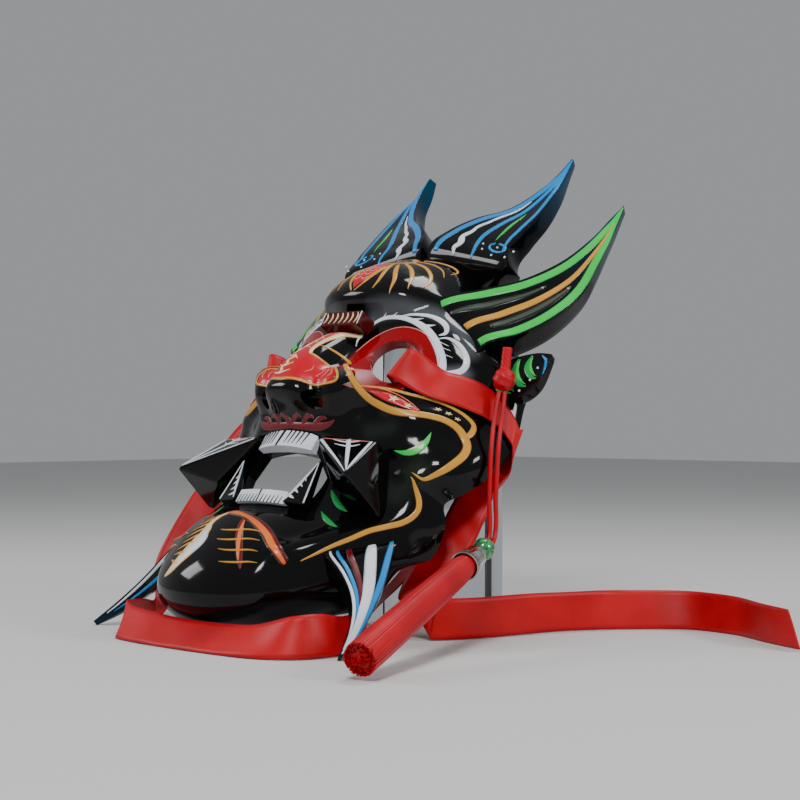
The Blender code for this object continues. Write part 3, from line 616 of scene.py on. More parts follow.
def makeJade():
    material = newMaterial("jade", (0.0, 0.16, 0.04), 0.06, Coat_Weight=1.0, Coat_Roughness=0.02)
    tree, _, shader = placeGroup(material, lacquerCoat, 0.0003, 0.3, Wave=0.2, Rub=0.05, Gloss=0.05)
    place = tree.nodes.new("ShaderNodeTexCoord").outputs["Object"]
    cloud = addSpread(tree, addNoise(tree, place, 330, 4), 0.42, 0.66)
    tree.links.new(addBlend(tree, cloud, (0.0, 0.10, 0.02), (0.05, 0.42, 0.12)),
                   shader.inputs["Base Color"])
    return material


def makeSilver():
    material = newMaterial("silver", (0.78, 0.76, 0.70), 0.2, Metallic=1.0)
    tree, coatNode, shader = placeGroup(material, lacquerCoat, 0.0006, 0.5, Wave=0.5, Rub=0.25, Gloss=0.16)
    tint = addBlend(tree, coatNode.outputs["Rubbed"], (0.80, 0.78, 0.72), (0.30, 0.27, 0.22))
    tree.links.new(addBlend(tree, addMark(tree, "tarnish"), tint, (0.10, 0.085, 0.06)),
                   shader.inputs["Base Color"])
    tree.links.new(coatNode.outputs["Roughness"], shader.inputs["Roughness"])
    return material


def makeClear(name, colour, roughness):
    material = newMaterial(name, colour, roughness, Transmission_Weight=1.0, IOR=1.49)
    placeGroup(material, lacquerCoat, 0.0002, 0.15, Wave=0.25, Rub=0.05, Gloss=0.03)
    return material


jade = makeJade()
silver = makeSilver()
clearBlock = makeClear("clearBlock", (0.93, 0.97, 1.0), 0.02)
print("materials made")


# cords
cordRoute = {
    "rows": [(87.3, 140.6, 120.5, 1.00, 1.00), (89.2, 136.6, 112, 1.25, 1.25),
             (91.8, 131.6, 102, 1.25, 1.25), (93.2, 128.6, 92, 1.20, 1.20), (93.8, 127.0, 80, 1.15, 1.15),
             (94.1, 126.0, 68, 1.10, 1.10), (94.3, 126.1, 58, 1.15, 1.00), (94.6, 125.2, 51.4, 1.25, 0.70),
             (95.3, 123.2, 48.1, 1.30, 0.50), (96.3, 120.3, 46.6, 1.35, 0.48)],
    "diameter": 2.4, "bead": (98.2, 115, 45), "beadWidth": 11, "foot": (142, -9, 8.8), "tasselWidth": 15,
    "knotLow": (86.8, 141.9, 121.25), "knotHigh": (87.7, 144.2, 141.5),
}


def standing(spots):  # across, back and high in mm, chin tip as zero of the depth -> metres
    spots = np.asarray(spots, float)
    return (spots - np.array([0, chinToBlock, 0])) * mm


def makeCord(node, side):
    rows = [(row[0] + side * row[3], row[1] + side * row[4], row[2]) for row in cordRoute["rows"]]
    line = standing(readAlong(rows, np.linspace(0, len(rows) - 1, 90)))
    length = float(np.linalg.norm(np.diff(line, axis=0), axis=1).sum())
    curve = bpy.data.curves.new(node + "Line", "CURVE")
    curve.dimensions = "3D"
    curve.bevel_depth = cordRoute["diameter"] / 2 * mm
    curve.bevel_resolution = 3
    curve.use_fill_caps = True
    spline = curve.splines.new("POLY")
    spline.points.add(len(line) - 1)
    for point, spot in zip(spline.points, line):
        point.co = (*spot, 1)
    curve.materials.append(silkRed)
    piece = bpy.data.objects.new(node + "Silk", curve)
    bpy.context.scene.collection.objects.link(piece)
    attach(piece, "root")
    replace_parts(piece, node)
    return piece, line, length


for cordNode, cordSide in (("tassel_cord_inner", -1), ("tassel_cord_outer", 1)):
    makeCord(cordNode, cordSide)
print("cords laid")


# turned pieces of the tassel: rings round a line; corners are radius and height in mm
tasselShape = {
    "cap": [(0, 0.02), (3.4, 0.1), (5.0, 2.0), (5.6, 4.6), (6.2, 7.4), (6.9, 10), (7.0, 10.9), (6.5, 11),
            (5.9, 10)],
    "capEnd": (0, 9.4), "capStretch": 1.65, "capGap": 0.3, "skirtFrom": 9.8,
    "knot": [(0, 0.02), (3.0, 0.1), (4.9, 2.2), (5.5, 5.8), (4.6, 9), (2.5, 10.8), (2.4, 14), (2.4, 17.5),
             (2.4, 21.3), (2.0, 21.5)],
    "strands": 260, "endStrands": 150,
}


def turnedPiece(name, profile, start, end, material, sides=48, sharp=50, relief=None, mark=None):
    low, high = np.array(standing(start)), np.array(standing(end))
    way = unit(high - low)
    one = unit(np.cross(way, [0.0, 0.0, 1.0] if abs(way[2]) < 0.9 else [1.0, 0.0, 0.0]))
    two = np.cross(way, one)
    angle = np.linspace(0, 2 * pi, sides, endpoint=False)
    spokes = np.cos(angle)[:, None] * one + np.sin(angle)[:, None] * two
    rings = []
    marks = []
    for radius, height in profile:
        carved = relief(angle, height) if relief else np.zeros(sides)
        rings.append(low + way * height * mm + (max(radius, 0.05) + carved)[:, None] * spokes * mm)
        marks.append(carved)
    mesh = bmesh.new()
    layRings(mesh, rings)
    if mark:
        layer = mesh.verts.layers.float.new(mark)
        mesh.verts.ensure_lookup_table()
        for vert, value in zip(mesh.verts, np.array(marks).ravel()):
            vert[layer] = float(np.clip(0.55 - value * 1.4, 0, 1))
    return addPiece(name, mesh, material, sharp)


def evenProfile(corners, steps):
    heights = np.linspace(0, len(corners) - 1, steps)
    index = np.arange(len(corners))
    return list(zip(np.interp(heights, index, [c[0] for c in corners]),
                    np.interp(heights, index, [c[1] for c in corners])))


def capPetals(angle, height):  # two rows of raised petals and a beaded lip
    height = height / tasselShape["capStretch"]
    lower = 0.38 * np.abs(np.cos(4 * angle)) ** 0.6 * np.sin(pi * np.clip((height - 4.6) / 5.4, 0, 1))
    upper = 0.32 * np.abs(np.sin(4 * angle)) ** 0.6 * np.sin(pi * np.clip((height - 1.0) / 4.0, 0, 1))
    lip = 0.2 * np.cos(24 * angle) * np.sin(pi * np.clip((height - 9.6) / 1.2, 0, 1))
    return lower + upper + lip


def knotWinding(angle, height):
    body = np.clip(height, 0, 1) * np.clip((10.5 - height) / 1.5, 0, 1)
    neck = np.clip((height - 10) / 2, 0, 1)
    return 0.28 * np.sin(3 * angle + height * 1.3) * body + 0.1 * np.sin(6 * angle + height * 2.6) * neck


def makeTassel():
    bead = np.array(cordRoute["bead"], float)
    foot = np.array(cordRoute["foot"], float)
    way = unit(foot - bead)
    radius = cordRoute["beadWidth"] / 2
    arcs = [(radius * sin(pi * step / 20), radius - radius * cos(pi * step / 20)) for step in range(21)]
    beadPiece = turnedPiece("jadeBead", arcs, bead - way * radius, foot, jade, 40, 80)
    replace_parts(beadPiece, "tassel_bead")
    capStart = bead + way * (radius + tasselShape["capGap"])
    longer = tasselShape["capStretch"]
    corners = evenProfile(tasselShape["cap"], 49) + [tasselShape["capEnd"]]
    capShape = [(radius, height * longer) for radius, height in corners]
    cap = turnedPiece("silverCap", capShape, capStart, foot, silver, 96, 60, capPetals, "tarnish")
    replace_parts(cap, "tassel_cap")
    skirtStart = capStart + way * tasselShape["skirtFrom"] * longer
    length = float(np.linalg.norm(foot - skirtStart))
    half = cordRoute["tasselWidth"] / 2
    core = turnedPiece("tasselCore", [(0, 0), (half - 2.6, 0.2), (half - 1.7, 6),
                                      (half - 1.0, length * 0.5), (half - 1.2, length - 2.6),
                                      (0, length - 2.2)], skirtStart, foot, silkRed, 32)
    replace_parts(core, "tassel")
    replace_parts(layStrands(skirtStart, foot, length, half), "tassel")
    knotShape = evenProfile(tasselShape["knot"], 55) + [(0, 21.5)]
    knot = turnedPiece("tasselKnot", knotShape, cordRoute["knotLow"], cordRoute["knotHigh"], silkRed, 48,
                       70, knotWinding)
    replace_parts(knot, "tassel_knot")
    return beadPiece, cap, core, knot


def layStrands(start, foot, length, half):  # silk strands pressed into a bundle
    low, high = standing(start), standing(foot)
    way = unit(high - low)
    one = unit(np.cross(way, [0.0, 0.0, 1.0]))
    two = np.cross(way, one)
    picker = random.Random(7)
    mesh = bmesh.new()
    for strand in range(tasselShape["strands"] + tasselShape["endStrands"]):
        inner = strand >= tasselShape["strands"]
        angle = 2 * pi * (strand * 0.381966 % 1)
        depth = half * (1 - picker.random() ** 0.5) + 0.6 if inner else 0.45 + 0.75 * picker.random()
        drift = picker.uniform(-0.10, 0.10)
        wave = picker.uniform(0, 2 * pi)
        reach = length - picker.random() * 2.0
        rings = []
        for share in (0.94, 0.98, 1.0) if inner else (0, 0.1, 0.3, 0.5, 0.7, 0.86, 1.0):
            heights = share * reach
            bundle = np.interp(heights, (0, 6, length * 0.5, length),
                               (half - 2.0, half - 1.0, half - 0.1, half + 0.4))
            turned = angle + drift * share + 0.03 * sin(wave + 5 * share)
            centre = low + way * heights * mm
            spoke = one * cos(turned) + two * sin(turned)
            side = np.cross(way, spoke)
            thick = 0.42 if share < 1 else 0.2
            middle = centre + spoke * (bundle - depth) * mm
            ring = [middle + (spoke * cos(turn) + side * sin(turn) * 1.5) * thick * mm
                    for turn in (0, 2 * pi / 5, 4 * pi / 5, 6 * pi / 5, 8 * pi / 5)]
            rings.append(ring)
        layRings(mesh, rings)
    across = mesh.verts.layers.float.new("acrossStroke")
    for vert in mesh.verts:
        vert[across] = 0.0
    return addPiece("tasselStrands", mesh, silkRed, 80)


tasselPieces = makeTassel()
print("tassel made")


# ribbons
ribbonShape = {
    "eyePass": [(31, -44, 172, .40, .05, .90, 15.5), (36, -34, 173.5, .40, .05, .90, 15.5),
                (40.5, -24.5, 174.5, .40, .05, .90, 16), (46, -11.5, 173, .40, .05, .90, 16.5),
                (53, -12.2, 171.5, .30, .10, .94, 18)],
    "templeWrap": [(43, 13.67, 12.55), (50, 13.78, 12.67), (57, 13.85, 12.80), (64, 13.83, 12.90),
                   (71, 13.70, 12.88), (78, 13.50, 12.75), (85, 13.30, 12.60)],
    "lift": 2.6, "thick": 0.5, "columns": 9, "steps": 8,
    "left": [(88.5, 150.5, 94, -.10, .55, .83, 18), (82, 150.5, 86, -.45, .40, .80, 18),
             (78.5, 139, 77, -.65, .10, .72, 19), (77, 132, 67, -.75, -.10, .60, 20),
             (75, 127, 58, -.80, -.20, .45, 20), (73, 123.5, 50, -.80, -.20, .40, 20),
             (71, 118, 42, -.80, -.20, .40, 20), (69, 110, 33, -.80, -.25, .40, 20),
             (68, 103, 24, -.80, -.30, .35, 20), (68, 99, 15, -.80, -.30, .45, 20),
             (71, 101, 9.6, -.35, -.20, .85, 20), (79, 110, 9.6, 0, .10, .96, 20),
             (86, 125, 9.8, 0, .15, .97, 20), (91, 150, 10, -.05, .10, .99, 20),
             (99, 178, 10, .10, .15, .98, 20), (114, 206, 10, -.15, .20, .96, 20),
             (137, 226, 10, -.20, .20, .95, 20), (166, 224, 10, -.25, .25, .93, 20),
             (194, 208, 10, -.35, .25, .90, 20), (218, 196, 10, -.45, .20, .88, 20)],
    "right": [(-91.5, 143, 104.5, -.15, .40, .90, 18), (-97, 134, 98, -.45, -.05, .88, 19),
              (-99, 125, 86, -.62, -.40, .67, 20), (-99, 116, 73, -.63, -.55, .55, 20),
              (-98, 102, 58, -.63, -.60, .49, 20), (-96, 87, 41, -.63, -.50, .45, 20),
              (-92, 72, 24, -.65, -.20, .40, 20), (-86, 62, 10, -.65, .25, .35, 20),
              (-79, 52, 6.5, -.60, .50, .42, 20), (-70, 40, 7, -.50, .50, .60, 20),
              (-61, 27, 7.2, -.45, .45, .70, 20), (-53, 15, 7.2, -.40, .45, .75, 20),
              (-43, 8, 6.6, -.20, .65, .68, 20), (-26, 6, 6, 0, .76, .62, 20),
              (-6, 5.5, 5.6, .03, .82, .56, 20), (18, 5.5, 5.6, .05, .82, .56, 20),
              (44, 6.5, 6, .05, .78, .60, 20), (63, 8.5, 7.4, -.05, .60, .76, 20),
              (76, 15, 9.2, -.20, .30, .93, 20), (80, 28, 9.2, -.30, .15, .90, 20),
              (78, 43, 8.2, -.55, .10, .75, 20), (73, 59, 8, -.50, .05, .75, 20),
              (62, 72, 8.5, .10, -.05, .85, 20), (51, 84, 11, .70, -.10, .60, 20),
              (46, 99, 19, .90, -.10, .42, 20), (48, 113, 31, .93, -.10, .35, 20),
              (54, 126, 45, .93, -.10, .33, 20), (61, 136, 58, .93, -.10, .30, 20)],
}


def turnedToRow(spot):
    return toRow(spot) / mm + np.array([0, chinToBlock, 0])


def ribbonRows(side, wraps, fall):
    rows = []
    for across, back, high, wideAcross, wideBack, wideHigh, width in ribbonShape["eyePass"]:
        wide = turnedToRow((wideAcross * side, wideBack, wideHigh)) - turnedToRow((0, 0, 0))
        rows.append((*turnedToRow((across * side, back, high)), *wide, width))
    for turn, upper, lower in ribbonShape["templeWrap"][:wraps]:
        ends = [turnedToRow(outerFace(np.array(radians(turn) * side), np.array(row), ribbonShape["lift"]))
                for row in (upper, lower)]
        rows.append((*((ends[0] + ends[1]) / 2), *unit(ends[0] - ends[1]),
                     float(np.linalg.norm(ends[0] - ends[1]))))
    return rows + fall


def makeRibbon(node, rows):
    count = ribbonShape["steps"] * (len(rows) - 1) + 1
    values = readAlong(rows, np.linspace(0, len(rows) - 1, count))
    centre = values[:, :3] - np.array([0, chinToBlock, 0])
    wide = unit(values[:, 3:6]) * values[:, 6:7] / 2
    centre[:, 2] = np.maximum(centre[:, 2], np.abs(wide[:, 2]) + 0.52)
    shares = np.linspace(-1, 1, ribbonShape["columns"])
    spots = centre[None] + wide[None] * shares[:, None, None]
    face = unit(np.cross(np.gradient(centre, axis=0), wide))
    wave = np.sin(np.arange(count)[None] * 0.55 + 1.5 * shares[:, None])
    ripple = 0.22 * wave * (1 - 0.6 * shares[:, None] ** 2)
    calm = np.clip((np.arange(count) - 30) / 20, 0, 1)
    spots = spots + face[None] * (ripple * calm)[:, :, None]
    mesh = bmesh.new()
    mesh.verts.layers.float.new("acrossStroke")
    mesh.verts.layers.float.new("alongStroke")
    across, along = mesh.verts.layers.float["acrossStroke"], mesh.verts.layers.float["alongStroke"]
    table = layGrid(mesh, spots * mm)
    travel = np.concatenate([[0], np.cumsum(np.linalg.norm(np.diff(centre, axis=0), axis=1))])
    for column, share in enumerate(shares):
        for row in range(count):
            table[column][row][across] = float(share)
            table[column][row][along] = float(travel[row])
    size = sum(face.calc_area() for face in mesh.faces)
    piece = addPiece(node + "Satin", mesh, ribbonSatin, 80, closed=False)
    wall = piece.modifiers.new("cloth", "SOLIDIFY")
    wall.thickness = ribbonShape["thick"] * mm
    wall.offset = 0.0
    settle(piece)
    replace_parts(piece, node)
    return piece


makeRibbon("ribbon_left", ribbonRows(1, 7, ribbonShape["left"]))
makeRibbon("ribbon_right", ribbonRows(-1, 5, ribbonShape["right"]))
print("ribbons laid")


# shell, eye sockets, nostrils and mouth
eyeSlope = (faceShape["eyeFront"] - faceShape["eyeHole"]) / 6


def eyeLine(side):  # middle of an eye hole, and the way that it looks
    turn = faceShape["eyeTurn"] * side
    centre = np.array((faceShape["eye"][0] * side, faceShape["eyeForward"], faceShape["eye"][1]))
    return centre, np.array((sin(turn), cos(turn), 0))


def layCone(mesh, place, way, nearRadius, farRadius, depth, sides):
    ahead = toRow(np.array(place) + np.array(way)) - toRow(place)
    turn = Vector(ahead).to_track_quat("Z", "Y").to_matrix().to_4x4()
    turn.translation = Vector(toRow(place))
    bmesh.ops.create_cone(mesh, cap_ends=True, segments=sides, depth=depth * mm, radius1=farRadius * mm,
                          radius2=nearRadius * mm, matrix=turn)


def makeCutters():
    mesh = bmesh.new()
    hole, depth = faceShape["eyeHole"], faceShape["eyeDepth"]
    across, up, radius = faceShape["nostril"]
    for side in (1, -1):
        centre, ahead = eyeLine(side)
        layCone(mesh, centre + ahead * depth / 2, ahead, hole + eyeSlope * depth, hole, depth,
                faceShape["eyeSides"])
        layCone(mesh, (across * side, -2, up), faceShape["nostrilWay"], radius, radius, 60, 32)
    low, high, half = faceShape["mouthLow"], faceShape["mouthHigh"], faceShape["mouthHalf"]
    outline = [(-half, low), (half, low), (half + 3, 0.6 * high + 0.4 * low), (0.75 * half, high - 2),
               (0, high), (-0.75 * half, high - 2), (-half - 3, 0.6 * high + 0.4 * low)]
    front = [mesh.verts.new(toRow((across, faceShape["mouthFront"], up))) for across, up in outline]
    face = mesh.faces.new(front)
    pushed = bmesh.ops.extrude_face_region(mesh, geom=[face])
    verts = [vert for vert in pushed["geom"] if isinstance(vert, bmesh.types.BMVert)]
    reach = toRow((0, faceShape["mouthBack"], 0)) - toRow((0, faceShape["mouthFront"], 0))
    bmesh.ops.translate(mesh, verts=verts, vec=Vector(reach))
    bmesh.ops.recalc_face_normals(mesh, faces=mesh.faces)
    return mesh


def eyeThroughCutters():
    mesh = bmesh.new()
    for side in (1, -1):
        centre, ahead = eyeLine(side)
        layCone(mesh, centre - ahead * faceShape["throughBack"], ahead, faceShape["eyeHole"],
                faceShape["eyeHole"], faceShape["throughDepth"], faceShape["eyeSides"])
    return mesh


def cutAway(piece, cutterMesh):
    data = bpy.data.meshes.new("cutters")
    cutterMesh.to_mesh(data)
    cutterMesh.free()
    cutter = bpy.data.objects.new("cutters", data)
    bpy.context.scene.collection.objects.link(cutter)
    step = piece.modifiers.new("openings", "BOOLEAN")
    step.object = cutter
    step.solver = "EXACT"
    settle(piece)
    bpy.data.objects.remove(cutter)
    return piece


def fromRow(spots):  # metres -> across, forward, up on the leaning face
    spots = np.asarray(spots, float) / mm
    back, high = spots[..., 1] + chinToBlock, spots[..., 2]
    return np.stack([spots[..., 0], -back * cos(lean) + high * sin(lean),
                     back * sin(lean) + high * cos(lean)], -1)


def readPlaces(items, what):  # of a mesh's points or faces, on the leaning face
    spots = np.zeros(len(items) * 3)
    items.foreach_get(what, spots)
    return fromRow(spots.reshape(-1, 3))


def writeMark(data, name, values):
    data.attributes.new(name, "FLOAT", "POINT").data.foreach_set("value", values.astype(np.float32))


eyeRing = ((36.8, 178), (21, 21.2))
# eyeHazeAndHighlight: grey-white on the brows and beside each eye, partly sprayed paint and partly a
# painted highlight where the brow and eye mounds catch the light
faceHazeAndHighlight = {
    "eyeHazeAndHighlight": [([(6, 190), (13, 204), (30, 209), (42, 212), (51, 210), (60, 204), (66, 196)], 7, 0.55),
                ([(62, 180), (66, 184)], 6, 0.9), ([(31, 162), (31, 156)], 5, 0.4)],
    "oliveHaze": [([(22, 232), (27, 231)], 4, 1.0), ([(13, 241), (17, 236)], 3, 0.9),
                  ([(72, 124), (64, 110)], 9, 0.5), ([(45, 135), (54, 140)], 7, 0.4)],
}


def markFace(data):  # grey-white haze along lines, round the eyes partly sprayed paint and partly a painted highlight, and the red round each eye
    spots = readPlaces(data.vertices, "co")
    across, up = np.abs(spots[:, 0]), spots[:, 2]
    for name, lines in faceHazeAndHighlight.items():
        values = np.zeros(len(spots))
        for line, width, strength in lines:
            values = np.maximum(values, strength * ridgeAlong(across, up, line, width))
        writeMark(data, name, values)
    (ringAcross, ringUp), (wide, high) = eyeRing
    away = np.hypot((across - ringAcross) / wide, (up - ringUp) / high)
    writeMark(data, "socketRed", ramp(1.03, 0.97, away))


def makeShell():
    around, height = faceShape["aroundSteps"], faceShape["heightSteps"]
    inside = toRow(faceGrid(innerFace, around, height))
    mesh = bmesh.new()
    table = layGrid(mesh, toRow(carvedGrid))
    border = {table[column][row]: (column, row) for column in range(around + 1) for row in range(height + 1)
              if column in (0, around) or row in (0, height)}
    rim = [edge for edge in mesh.edges if edge.is_boundary]
    pushed = bmesh.ops.extrude_edge_only(mesh, edges=rim)
    for vert in [item for item in pushed["geom"] if isinstance(item, bmesh.types.BMVert)]:
        start = next(edge.other_vert(vert) for edge in vert.link_edges if edge.other_vert(vert) in border)
        vert.co = Vector(inside[border[start]])
    for vert in [vert for line in layGrid(mesh, inside) for vert in line]:
        for face in vert.link_faces:
            face.material_index = 1
    bmesh.ops.remove_doubles(mesh, verts=[vert for vert in mesh.verts if vert.is_boundary], dist=1e-6)
    shell = addPiece("maskShell", mesh, blackLacquer)
    shell.data.materials.append(insideBlack)
    shell.data.materials.append(redSocket)
    cutAway(shell, makeCutters())
    cutAway(shell, eyeThroughCutters())
    markFace(shell.data)
    paintSockets(shell.data)
    smoothSides(shell, 38)
    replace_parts(shell, "mask_face")
    return shell


def paintSockets(data):
    centres = readPlaces(data.polygons, "center")
    for side in (1, -1):
        centre, ahead = eyeLine(side)
        away = centres - centre
        depth = away @ ahead
        radius = np.linalg.norm(away - depth[:, None] * ahead, axis=1)
        wall = faceShape["eyeHole"] + eyeSlope * np.maximum(depth, 0)
        onWall = np.abs(radius - wall) < 0.35
        for index in np.nonzero(onWall & (depth > -0.5) & (depth < faceShape["eyeDepth"]))[0]:
            data.polygons[index].material_index = 2


shell = makeShell()
print("shell carved", len(shell.data.polygons))


headRoom = {"wall": 4.2, "rimWall": 3.2, "around": 48, "height": 60, "back": -60}


def headSolid():  # the hollow and half its wall, which no horn may stand in
    mesh = bmesh.new()
    inside = faceGrid(innerFace, headRoom["around"], headRoom["height"], wall=headRoom["wall"],
                      rimWall=headRoom["rimWall"])
    layGrid(mesh, toRow(inside))
    rim = [edge for edge in mesh.edges if edge.is_boundary]
    pushed = bmesh.ops.extrude_edge_only(mesh, edges=rim)
    verts = [item for item in pushed["geom"] if isinstance(item, bmesh.types.BMVert)]
    back = Vector(toRow((0, headRoom["back"], 0)) - toRow((0, 0, 0)))
    bmesh.ops.translate(mesh, verts=verts, vec=back)
    edges = [item for item in pushed["geom"] if isinstance(item, bmesh.types.BMEdge) and item.is_boundary]
    bmesh.ops.contextual_create(mesh, geom=edges)
    bmesh.ops.recalc_face_normals(mesh, faces=mesh.faces)
    return mesh


def markTips(piece, name, side, strength):
    edge = mirrored([upper for upper, _, _ in bladeShapes[name]], side)
    root, tip = edge[1], edge[-1]
    share = (readPlaces(piece.data.vertices, "co") - root) @ (tip - root) / np.sum((tip - root) ** 2)
    writeMark(piece.data, "tipBlue", strength * ramp(0.45, 1.0, share))


for bladeEnd, bladeSide in (("left", 1), ("right", -1)):
    for bladeNode, bladeName, blueTip in (("crown_horn_", "crownHorn", 1.0),
                                          ("temple_horn_", "templeHorn", 0.8), ("ear_", "ear", 0.0),
                                          ("jaw_tusk_", "jawTusk", 0.3)):
        blade = makeBlade(bladeNode + bladeEnd, bladeName, bladeSide, blackLacquer)
        cutAway(blade, headSolid())
        smoothSides(blade, 60)
        markTips(blade, bladeName, bladeSide, blueTip)
print("horns, ears and jaw tusks made")


# brushwork laid on the carved surfaces
paintRoom = {"lift": 0.28, "layer": 0.12, "sunk": 0.1, "thick": 0.16, "thinColumns": 5, "wideColumns": 9,
             "wideFrom": 0.9, "steps": 5}
paintMeshes = {}


def canvas(colour):
    if colour not in paintMeshes:
        mesh = bmesh.new()
        mesh.verts.layers.float.new("acrossStroke")
        mesh.verts.layers.float.new("alongStroke")
        paintMeshes[colour] = mesh
    return paintMeshes[colour]


def laySkin(colour, table, outward, shares, travel, side):
    mesh = canvas(colour)
    verts = layGrid(mesh, toRow(mirrored(table, side)))
    across, along = mesh.verts.layers.float["acrossStroke"], mesh.verts.layers.float["alongStroke"]
    for column, share in enumerate(shares):
        for row, distance in enumerate(travel):
            verts[column][row][across] = float(share)
            verts[column][row][along] = float(distance)
    middleColumn, middleRow = len(shares) // 2, len(travel) // 2
    centre = verts[middleColumn][middleRow]
    way = Vector(toRow(mirrored(outward, side)) - toRow((0, 0, 0)))
    if sum((face.normal_update() or face.normal.dot(way)) for face in centre.link_faces) < 0:
        faces = {face for line in verts for vert in line for face in vert.link_faces}
        bmesh.ops.reverse_faces(mesh, faces=list(faces))


def surfaceFrame(surface, keys, eps, facing):
    here = surface(keys)
    first, second = np.array([eps[0], 0]), np.array([0, eps[1]])
    byFirst = (surface(keys + first) - surface(keys - first)) / (2 * eps[0])
    bySecond = (surface(keys + second) - surface(keys - second)) / (2 * eps[1])
    return here, byFirst, bySecond, unit(np.cross(byFirst, bySecond)) * facing


def paintStroke(colour, area, rows, side=1, layer=0):
    surface, eps, facing, toKeys = area
    rows = np.array(rows, float)
    keyed = np.concatenate([toKeys(rows[:, :2]), rows[:, 2:]], -1)
    count = paintRoom["steps"] * (len(rows) - 1) + 1
    values = readAlong(keyed, np.linspace(0, len(rows) - 1, count))
    keys, halves = values[:, :2], np.maximum(values[:, 2], 0.08)
    here, byFirst, bySecond, normal = surfaceFrame(surface, keys, eps, facing)
    flow = np.gradient(keys, axis=0)
    tangent = unit(byFirst * flow[:, :1] + bySecond * flow[:, 1:2])
    across = np.cross(normal, tangent)
    a, b, c = (np.sum(byFirst ** 2, -1), np.sum(byFirst * bySecond, -1), np.sum(bySecond ** 2, -1))
    p, q = np.sum(byFirst * across, -1), np.sum(bySecond * across, -1)
    room = np.maximum(a * c - b * b, 1e-9)
    move = np.stack([(c * p - b * q) / room, (a * q - b * p) / room], -1)
    columns = paintRoom["thinColumns"] if halves.max() < paintRoom["wideFrom"] else paintRoom["wideColumns"]
    shares = np.linspace(-1, 1, columns)
    table = np.zeros((columns, count, 3))
    lift = paintRoom["lift"] + paintRoom["layer"] * layer
    for column, share in enumerate(shares):
        place = keys + move * (halves * share)[:, None]
        crown = 1 - abs(share) ** 6
        spots = surfaceFrame(surface, place, eps, facing)[0]
        table[column] = spots + normal * (lift * crown - paintRoom["sunk"] * (1 - crown))
    travel = np.concatenate([[0], np.cumsum(np.linalg.norm(np.diff(here, axis=0), axis=1))])
    laySkin(colour, table, normal[count // 2], shares, travel, side)


def paintPatch(colour, area, firstEdge, secondEdge, side=1, layer=0, columns=13, steps=6):
    surface, eps, facing, toKeys = area
    edges = []
    count = steps * (max(len(firstEdge), len(secondEdge)) - 1) + 1
    for edge in (firstEdge, secondEdge):
        edges.append(readAlong(toKeys(np.array(edge, float)), np.linspace(0, len(edge) - 1, count)))
    shares = np.linspace(0, 1, columns)
    table = np.zeros((columns, count, 3))
    lift = paintRoom["lift"] - 0.06 + paintRoom["layer"] * layer
    for column, share in enumerate(shares):
        keys = edges[0] + (edges[1] - edges[0]) * share
        here, _, _, normal = surfaceFrame(surface, keys, eps, facing)
        table[column] = here + normal * (lift if 0 < column < columns - 1 else -paintRoom["sunk"])
    middle = (edges[0][count // 2] + edges[1][count // 2]) / 2
    normal = surfaceFrame(surface, middle[None], eps, facing)[3][0]
    travel = np.linspace(0, np.linalg.norm(table[columns // 2, -1] - table[columns // 2, 0]), count)
    laySkin(colour, table, normal, shares * 2 - 1, travel, side)


def plainKeys(spots):
    return np.asarray(spots, float)


def paintArea(surface, eps, middle, toKeys=plainKeys):  # with the sign that turns its normals forward
    outward = surfaceFrame(surface, np.array([middle], float), eps, 1)[3][0]
    return surface, eps, 1 if outward[1] > 0 else -1, toKeys


def flatArea(origin, first, second):  # a flat facet: keys run along its two edges
    origin, first, second = (np.array(corner, float) for corner in (origin, first, second))

    def surface(keys):
        keys = np.asarray(keys, float)
        return origin + keys[..., :1] * (first - origin) + keys[..., 1:2] * (second - origin)
    return paintArea(surface, (0.01, 0.01), (0.3, 0.3))


def bladeArea(name):
    return paintArea(bladeFront(name), (0.03, 0.01), (2, 0.5))


def bladeUpperSide(name):  # the blade's thickness, from its front edge to its back
    def surface(keys):
        upper, _, back = bladeFrame(name, keys[..., 0])
        return upper + back * keys[..., 1:2]
    middle = np.array([[2.0, 0.5]])
    upper, lower, _ = bladeFrame(name, middle[:, 0])
    away = upper - lower
    eps = (0.03, 0.01)
    facing = 1 if np.sum(surfaceFrame(surface, middle, eps, 1)[3] * away) > 0 else -1
    return surface, eps, facing, plainKeys


def toothArea(half, front, curl):
    def surface(keys):
        keys = np.asarray(keys, float)
        across, up = keys[..., 0], keys[..., 1]
        return np.stack([across, front - curl * (across / half) ** 2, up], -1)
    return paintArea(surface, (0.2, 0.2), (0, 100))


faceArea = paintArea(carvedFace, (0.5, 0.5), (80, 110), findOnFace)


def paintAll(area, work, sides=(1, -1), broad=1.0):
    for colour, layer, strokes in work:
        for rows in strokes:
            for side in sides:
                paintStroke(colour, area, [(*row[:2], row[2] * broad) for row in rows], side, layer)


def roundEye(turn):
    (across, up), (wide, high) = eyeRing
    return across + wide * cos(turn), up + high * sin(turn)


